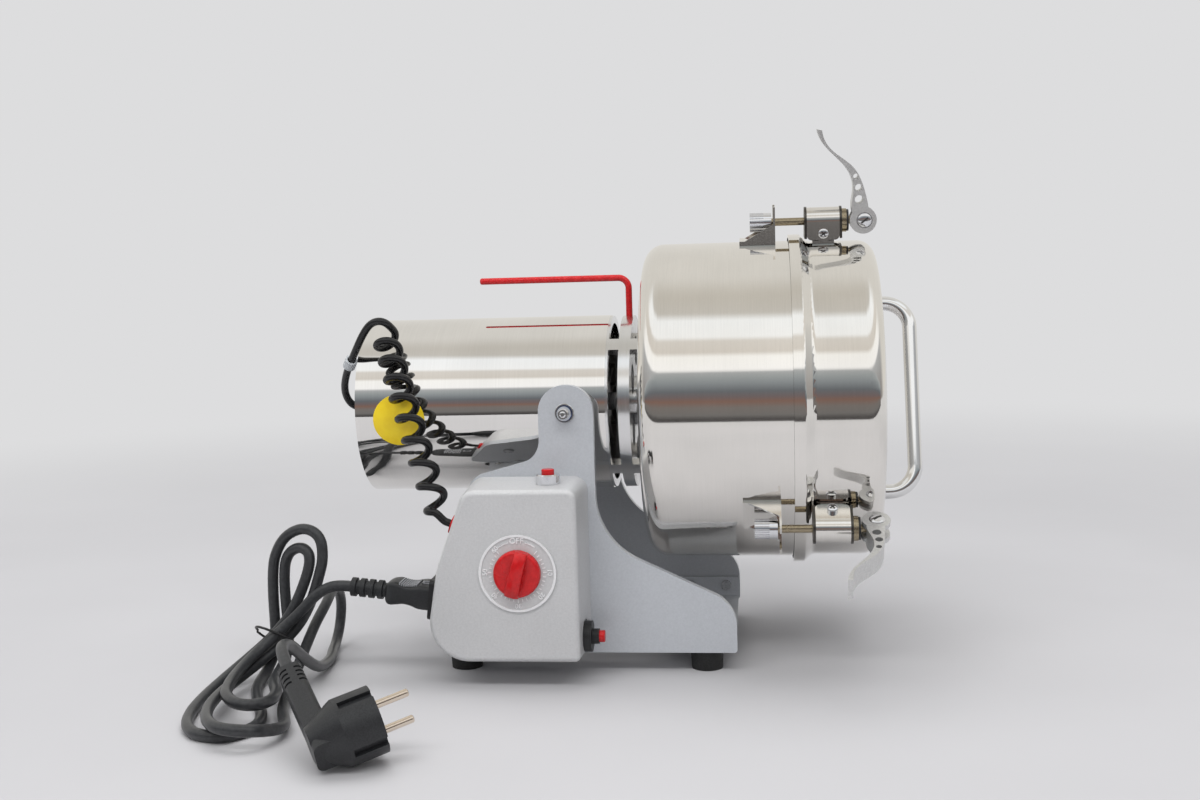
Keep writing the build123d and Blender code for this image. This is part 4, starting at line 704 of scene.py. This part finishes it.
def smooth_line(name, points, radius):
    """A NURBS curve over control points in metres, as a round cord."""
    drawn = bpy.data.curves.new(name, "CURVE")
    drawn.dimensions = "3D"
    run = drawn.splines.new("NURBS")
    run.points.add(len(points) - 1)
    for point, target in zip(run.points, points):
        point.co = (*target, 1.0)
    run.order_u = 3
    run.use_endpoint_u = True
    run.resolution_u = 6
    drawn.bevel_depth = radius
    drawn.bevel_resolution = 5
    drawn.use_fill_caps = True
    laid = bpy.data.objects.new(name, drawn)
    bpy.context.scene.collection.objects.link(laid)
    return laid


def as_mesh(laid):
    """The mesh of a curve object."""
    bpy.context.view_layer.update()
    return bpy.data.meshes.new_from_object(laid.evaluated_get(bpy.context.evaluated_depsgraph_get()))


lead_points = [
    at(-142.0, -18.0, drum_height),
    at(-151.0, -18.0, drum_height),
    at(-156.5, -21.0, drum_height + 5.5),
    at(-156.5, -28.0, drum_height + 15.0),
    at(-151.0, -38.0, drum_height + 26.5),
    at(-141.5, -49.5, drum_height + 39.5),
    at(-134.5, -53.5, drum_height + 51.5),
    at(-127.5, -56.5, drum_height + 59.5),
    at(-118.5, -59.5, drum_height + 60.5),
]
grommet_tilt = atan(19.5 / 52.0)
grommet_out = Vector((-cos(grommet_tilt), 0.0, sin(grommet_tilt)))
box_depth = 40.0
box_draft = 2.6
grommet_depth = 13.8
grommet_sink = 0.4
grommet_inset = box_draft * grommet_depth / box_depth + grommet_sink
grommet_seat = Vector((-71.0, -88.0, 99.4)) - grommet_out * grommet_inset
curl_radius = 6.8
curl_widening = 1.03
points_per_turn = 12
curl_turns = 8.75
curl_slant = radians(17.0)
curl_top = Vector((-120.5, -51.0, drum_height + 51.0))
curl_bend = Vector((-99.0, -80.0, drum_height - 3.0))
curl_low = grommet_seat + Vector((-11.5, 5.5, 6.5))
for step in range(int(points_per_turn * curl_turns) + 1):
    share = step / (points_per_turn * curl_turns)
    t = 0.8 * share + 0.2 * share ** 2
    axis_point = curl_top * (1 - t) ** 2 + curl_bend * (2 * t * (1 - t)) + curl_low * t ** 2
    ahead = ((curl_bend - curl_top) * (1 - t) + (curl_low - curl_bend) * t).normalized()
    ahead = Matrix.Rotation(-curl_slant, 3, "X") @ ahead
    aside = ahead.cross(Vector((0, 1, 0))).normalized()
    round_turn = 2 * pi * step / points_per_turn
    swing = aside * cos(round_turn) + aside.cross(ahead) * sin(round_turn)
    lead_points.append(at(*(axis_point + swing * curl_radius * curl_widening)))
lead_points += [at(*(grommet_seat + grommet_out * out)) for out in (7.5, 5.0, 2.5)]
lead_line = smooth_line("lead_line", lead_points, 0.0)
lead_path = [vertex.co.copy() for vertex in as_mesh(lead_line).vertices]
lead_line.data.bevel_depth = 0.0025
lead_mesh = as_mesh(lead_line)
bpy.data.objects.remove(lead_line)
lead_mesh.name = "curly_lead"
lead_mesh.shade_smooth()
lead_mesh.materials.clear()
lead_mesh.materials.append(lead_pvc)
curly_lead = bpy.data.objects.new("curly_lead", lead_mesh)
bpy.context.scene.collection.objects.link(curly_lead)
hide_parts("coiled_lead")
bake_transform(curly_lead)

# Clip on the lead: a band of light grey PVC pressed round the flex.
# It keeps the start of the curls tied to the straight run at the casing's edge.
finish(plain_grain("light_grey_pvc", "#AEB2B6", "#C6CACD", 1.0, 0.02, 0.5), "lead_clip")

# Power cord: one run of round black PVC flex from the connector, through a tied hank, to the plug.
# The hank's lower loops lie on the table and its upper loops stand up, leaning on the tie at its waist.
cord_pvc = plain_grain("semi_gloss_black_pvc", "#2A2B2D", "#38393B", 2.2, 0.04, 0.36)
cord_radius = 3.5
hank_x = -190.0
hank_y = -78.0
hank_bend = 30.0
hank_layer = 8.2
hank_lean = 0.25
lower_stretch = 1.6
upper_stretch = 1.1
point_spacing = 13.0
waist_turn = radians(66.0)
table_turn = radians(23.0)
hank_waist = Vector((hank_x, hank_y, cord_radius + hank_bend * (1 - cos(waist_turn))))
table_along = Vector((sin(table_turn), -cos(table_turn), 0.0))
table_across = Vector((cos(table_turn), sin(table_turn), 0.0))
table_start = Vector((hank_x, hank_y - hank_bend * sin(waist_turn), cord_radius))
rightward = Vector((1.0, 0.0, 0.0))


def hank_base(s):
    """Middle and heading of the hank, s mm above its waist."""
    near = min(max(s, -hank_bend * waist_turn), hank_bend * (pi / 2 - waist_turn))
    turn = waist_turn + near / hank_bend
    y = hank_bend * (sin(turn) - sin(waist_turn)) + (s - near) * cos(turn)
    z = hank_bend * (cos(waist_turn) - cos(turn)) + (s - near) * sin(turn)
    lean = hank_lean if s > 0 else 0.0
    return hank_waist + Vector((lean * s, y, z)), Vector((lean, cos(turn), sin(turn))).normalized()


def hank_place(s, side, layer):
    """A place in the hank: s along it, side to the right, in a layer off its lower face."""
    middle, heading = hank_base(s)
    return middle + rightward * side + rightward.cross(heading).normalized() * (layer * hank_layer)


def lower_stop(reach, middle, half, layers, step):
    """One of five stops round the end of a lower loop, from left to right."""
    angle = radians(45 * step - 90)
    left, end, other = layers
    layer = left + (end - left) * step / 2 if step < 2 else end + (other - end) * (step - 2) / 2
    spot = table_start + table_along * (reach - lower_stretch * half * (1 - cos(angle)))
    spot += table_across * (middle + half * sin(angle))
    heading = table_along * (-lower_stretch * sin(angle)) + table_across * cos(angle)
    return spot + Vector((0, 0, layer * hank_layer)), heading.normalized()


def upper_stop(crest, half, step):
    """One of five stops round the top of an upper loop, from left to right."""
    angle = radians(45 * step - 90)
    s = crest - upper_stretch * half * (1 - cos(angle))
    rising = hank_base(s)[1]
    heading = rising * (-upper_stretch * half * sin(angle)) + rightward * (half * cos(angle))
    heading += rightward.cross(rising).normalized() * (hank_layer / pi)
    return hank_place(s, half * sin(angle), step / 4), heading.normalized()


waist_along = hank_base(0.0)[1]
crossing_turn = radians(46)
returning_turn = radians(8)
crossing = (waist_along * -cos(crossing_turn) - rightward * sin(crossing_turn)).normalized()
returning = (waist_along * cos(returning_turn) - rightward * sin(returning_turn)).normalized()
foot_heading = Vector((-0.12, 1.0, 0.0)).normalized()
lower_loops = [
    (84.0, -13.0, 14.5, (1.35, 1.25, 1.1)),
    (104.0, -29.0, 21.0, (0, 0, 0)),
    (124.0, -17.5, 21.5, (1.05, 1.05, 0)),
]
upper_loops = [(63.0, 9.8), (76.0, 17.8)]
waist_returns = [4.4, -4.4]
waist_slots = [(0.0, 2.1), (-5.6, 1.0), (5.6, 1.0)]
foot_slots = [(6.0, 0.5), (-5.5, 0.0)]
stops = []
for loop, shape in enumerate(lower_loops):
    stops.append((hank_place(0.0, *waist_slots[loop]), crossing))
    stops += [lower_stop(*shape, step) for step in range(5)]
    if loop < len(upper_loops):
        stops.append((hank_place(-hank_bend * waist_turn, *foot_slots[loop]), foot_heading))
        stops.append((hank_place(0.0, waist_returns[loop], 0.0), returning))
        stops += [upper_stop(*upper_loops[loop], step) for step in range(5)]


def hermite(start, leaving, end, arriving, u):
    """A place between two ends with their directions, u from 0 to 1."""
    place = start * (2 * u ** 3 - 3 * u ** 2 + 1) + end * (3 * u ** 2 - 2 * u ** 3)
    return place + leaving * (u ** 3 - 2 * u ** 2 + u) + arriving * (u ** 3 - u ** 2)


hank_points = []
for (p0, t0), (p1, t1) in zip(stops, stops[1:]):
    span = (p1 - p0).length
    count = max(1, round(span / point_spacing))
    hank_points += [hermite(p0, t0 * span, p1, t1 * span, k / count) for k in range(count)]
hank_in = stops[0]
hank_out = stops[-1]
inlet_tilt = radians(6.0)
inlet_out = Vector((-cos(inlet_tilt), 0.0, sin(inlet_tilt)))
inlet_seat = Vector((-81.6333, -94.2, 55.4))
boot_length = 55.45
cord_start = inlet_seat + inlet_out * boot_length
plug_pins_to = Vector((0.849, 0.470, 0.242))
plug_cord = Vector((-0.529, 0.764, 0.370)).normalized()
plug_back = Vector((-138.3, -207.8, 37.6))
first_points = [
    cord_start,
    cord_start + inlet_out * 9.0,
    Vector((-155.0, -94.0, 59.5)),
    Vector((-163.8, -93.4, 52.8)),
    Vector((-172.0, -92.0, 44.2)),
    hank_in[0] - hank_in[1] * 12.0,
]
second_points = [
    hank_out[0],
    hank_out[0] + hank_out[1] * 27.0,
    Vector((-168.0, -130.0, 5.0)),
    Vector((-171.0, -106.0, 11.5)),
    Vector((-170.8, -87.0, 21.5)),
    Vector((-169.3, -71.0, 32.0)),
    Vector((-167.3, -55.0, 40.0)),
    Vector((-169.0, -38.5, 44.0)),
    Vector((-170.5, -21.5, 44.6)),
    Vector((-171.0, -9.5, 32.8)),
    Vector((-172.5, -9.5, 15.8)),
    Vector((-172.5, -21.5, 4.0)),
    Vector((-169.5, -39.0, 3.7)),
    Vector((-164.5, -57.0, 4.0)),
    Vector((-162.5, -77.0, 5.2)),
    Vector((-160.5, -98.0, 9.5)),
    Vector((-159.8, -124.0, 23.0)),
    Vector((-158.0, -147.0, 36.0)),
    Vector((-155.5, -168.0, 45.0)),
    plug_back + plug_cord * 24.0,
    plug_back,
]
cord_points = [at(*point) for point in first_points + hank_points + second_points]
power_cord = smooth_line("mains_cord", cord_points, cord_radius / 1000)
power_cord.data.materials.append(cord_pvc)
bare = power_cord.copy()
bare.data = power_cord.data.copy()
bare.data.bevel_depth = 0.0
bpy.context.scene.collection.objects.link(bare)
cord_line = [vertex.co.copy() for vertex in as_mesh(bare).vertices]
bpy.data.objects.remove(bare)
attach(power_cord, "base")
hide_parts("power_cord", "cord_hank")

# Wire tie round the hank's waist: thin black plastic-coated wire.
# It goes once round the bundle, and its two ends meet on the left.
tie_plastic = plain_grain("black_coated_wire", "#101011", "#1D1D1F", 0.8, 0.03, 0.35)
tie_middle = hank_place(0.0, 0.0, 1.0)
tie_up = rightward.cross(waist_along).normalized()
tie_half_wide = 14.6
tie_half_tall = 14.4
tie_corner = 0.85
tie_steps = 24
tie_pitch = 1.2


def squared(value, corner):
    """A sine or cosine pushed outward, which turns a circle into a round-cornered square."""
    return copysign(abs(value) ** corner, value)


tie_points = []
for step in range(tie_steps + 1):
    angle = 2 * pi * step / tie_steps + pi
    wide = tie_half_wide * squared(cos(angle), tie_corner)
    tall = tie_half_tall * squared(sin(angle), tie_corner)
    slide = tie_pitch * (step / tie_steps - 0.5) - 0.35 * wide + 0.17 * tall
    tie_points.append(at(*(tie_middle + rightward * wide + tie_up * tall + waist_along * slide)))
wire_tie = smooth_line("wire_tie", tie_points, 0.0008)
wire_tie.data.materials.append(tie_plastic)
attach(wire_tie, "base")
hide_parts("cord_tie")

# Connector in the box's inlet: a moulded black PVC boot over the contacts, waisted for the fingers.
# Its upper face has nine grip ribs and a small raised frame, painted light grey as painted highlight on
# their tops, and its ribbed tail lets the cord bend.
moulded_pvc = plain_grain("moulded_black_pvc", "#1C1D1F", "#2B2C2E", 0.8, 0.05, 0.42)
inlet_up = Vector((sin(inlet_tilt), 0.0, cos(inlet_tilt)))
boot_spokes = 32
boot_corner = 0.28
tail_start = 32.4
tail_pitch = 5.76
grip_start = 11.6
grip_pitch = 1.35
marks_deep = -2.0
border_out = 6.6
border_high = 7.55
border_half = 2.3
boot = bmesh.new()


def boot_spot(out, deep, high):
    """A place on the connector: out of the box, away from the camera, and up."""
    return boot.verts.new(at(*(inlet_seat + inlet_out * out + Vector((0, deep, 0)) + inlet_up * high)))


boot_turns = [2 * pi * (spoke + 0.5) / boot_spokes for spoke in range(boot_spokes)]


def boot_ring(out, half_deep, upper, lower):
    """A ring of points round the connector, a rectangle with round corners."""
    ring = []
    for turn in boot_turns:
        deep = half_deep * squared(cos(turn), boot_corner)
        high = abs(sin(turn)) ** boot_corner * (upper if sin(turn) > 0 else lower)
        ring.append(boot_spot(out, deep, high))
    return ring


boot_shape = [
    (2.75, 13.2, 7.6, -7.6),
    (9.0, 13.0, 7.6, -7.6),
    (14.0, 12.2, 6.5, -6.2),
    (19.0, 11.2, 6.3, -5.6),
    (24.0, 10.2, 7.6, -6.6),
    (28.0, 9.2, 7.4, -7.4),
    (30.8, 7.8, 6.2, -6.8),
    (tail_start, 5.4, 4.6, -4.6),
]
boot_rings = []
for k in range(len(boot_shape) - 1):
    before = Vector(boot_shape[max(k - 1, 0)])
    here = Vector(boot_shape[k])
    after = Vector(boot_shape[k + 1])
    beyond = Vector(boot_shape[min(k + 2, len(boot_shape) - 1)])
    for part in range(4):
        section = hermite(here, (after - before) / 2, after, (beyond - here) / 2, part / 4)
        boot_rings.append(boot_ring(*section))
for rib in range(4):
    start = tail_start + tail_pitch * rib
    for out, radius in ((0.2, 4.6), (1.9, 4.6), (2.3, 6.0), (5.4, 6.0), (5.7, 4.6)):
        ring = [boot_spot(start + out, radius * cos(turn), radius * sin(turn)) for turn in boot_turns]
        boot_rings.append(ring)
for low, high in zip(boot_rings, boot_rings[1:]):
    for spoke in range(boot_spokes):
        boot.faces.new((low[spoke - 1], high[spoke - 1], high[spoke], low[spoke]))
boot.faces.new(boot_rings[0])
boot.faces.new(boot_rings[-1])


def boot_bar(out, deep, high, half_out, half_deep):
    """A low raised bar on the connector's upper face."""
    corners = []
    for lift in (-0.6, 0.7):
        for u, v in ((-1, -1), (1, -1), (1, 1), (-1, 1)):
            corners.append(boot_spot(out + u * half_out, deep + v * half_deep, high + lift))
    for face in ((0, 1, 2, 3), (4, 5, 6, 7), (0, 4, 5, 1), (1, 5, 6, 2), (2, 6, 7, 3), (3, 7, 4, 0)):
        boot.faces.new([corners[i] for i in face]).material_index = 1


for rib in range(9):
    rib_out = grip_start + grip_pitch * rib
    rib_high = 6.35 + 0.03 * (rib_out - 17.0) ** 2
    boot_bar(rib_out, marks_deep, rib_high, half_out=0.36, half_deep=7.6)
for side in (-border_half, border_half):
    boot_bar(border_out + side, marks_deep, border_high, half_out=0.4, half_deep=2.7)
    boot_bar(border_out, marks_deep + side, border_high, half_out=2.7, half_deep=0.4)
bmesh.ops.recalc_face_normals(boot, faces=boot.faces)
# Light grey for the grip ribs and the raised frame: painted highlight on the black moulding.
rib_highlight_pvc = plain_grain("highlight_painted_black_pvc", "#85868A", "#9C9DA0", 0.8, 0.05, 0.5)
connector_boot = new_piece("connector_boot", boot, moulded_pvc, rib_highlight_pvc)
connector_boot.data.shade_smooth()
connector_boot.data.set_sharp_from_angle(angle=radians(35.0))
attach(connector_boot, "base")
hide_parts("cord_connector")

# Plug on the cord's far end: an angled plug of moulded black PVC with two round nickel-plated pins.
# The grooves round its body and the slots in its arm are for the fingers and for the cord's bend.
finish(moulded_pvc, "plug")
nickel_plate = bright_plate("nickel_plated_brass", "#ECDFD0", "#DACBBA", 0.1, 3.0)
pins_along = plug_cord.cross(plug_pins_to.cross(plug_cord).normalized())
plug_front = 31.1
finish_faces("plug", nickel_plate, lambda spot: (spot - plug_back).dot(pins_along) > plug_front)
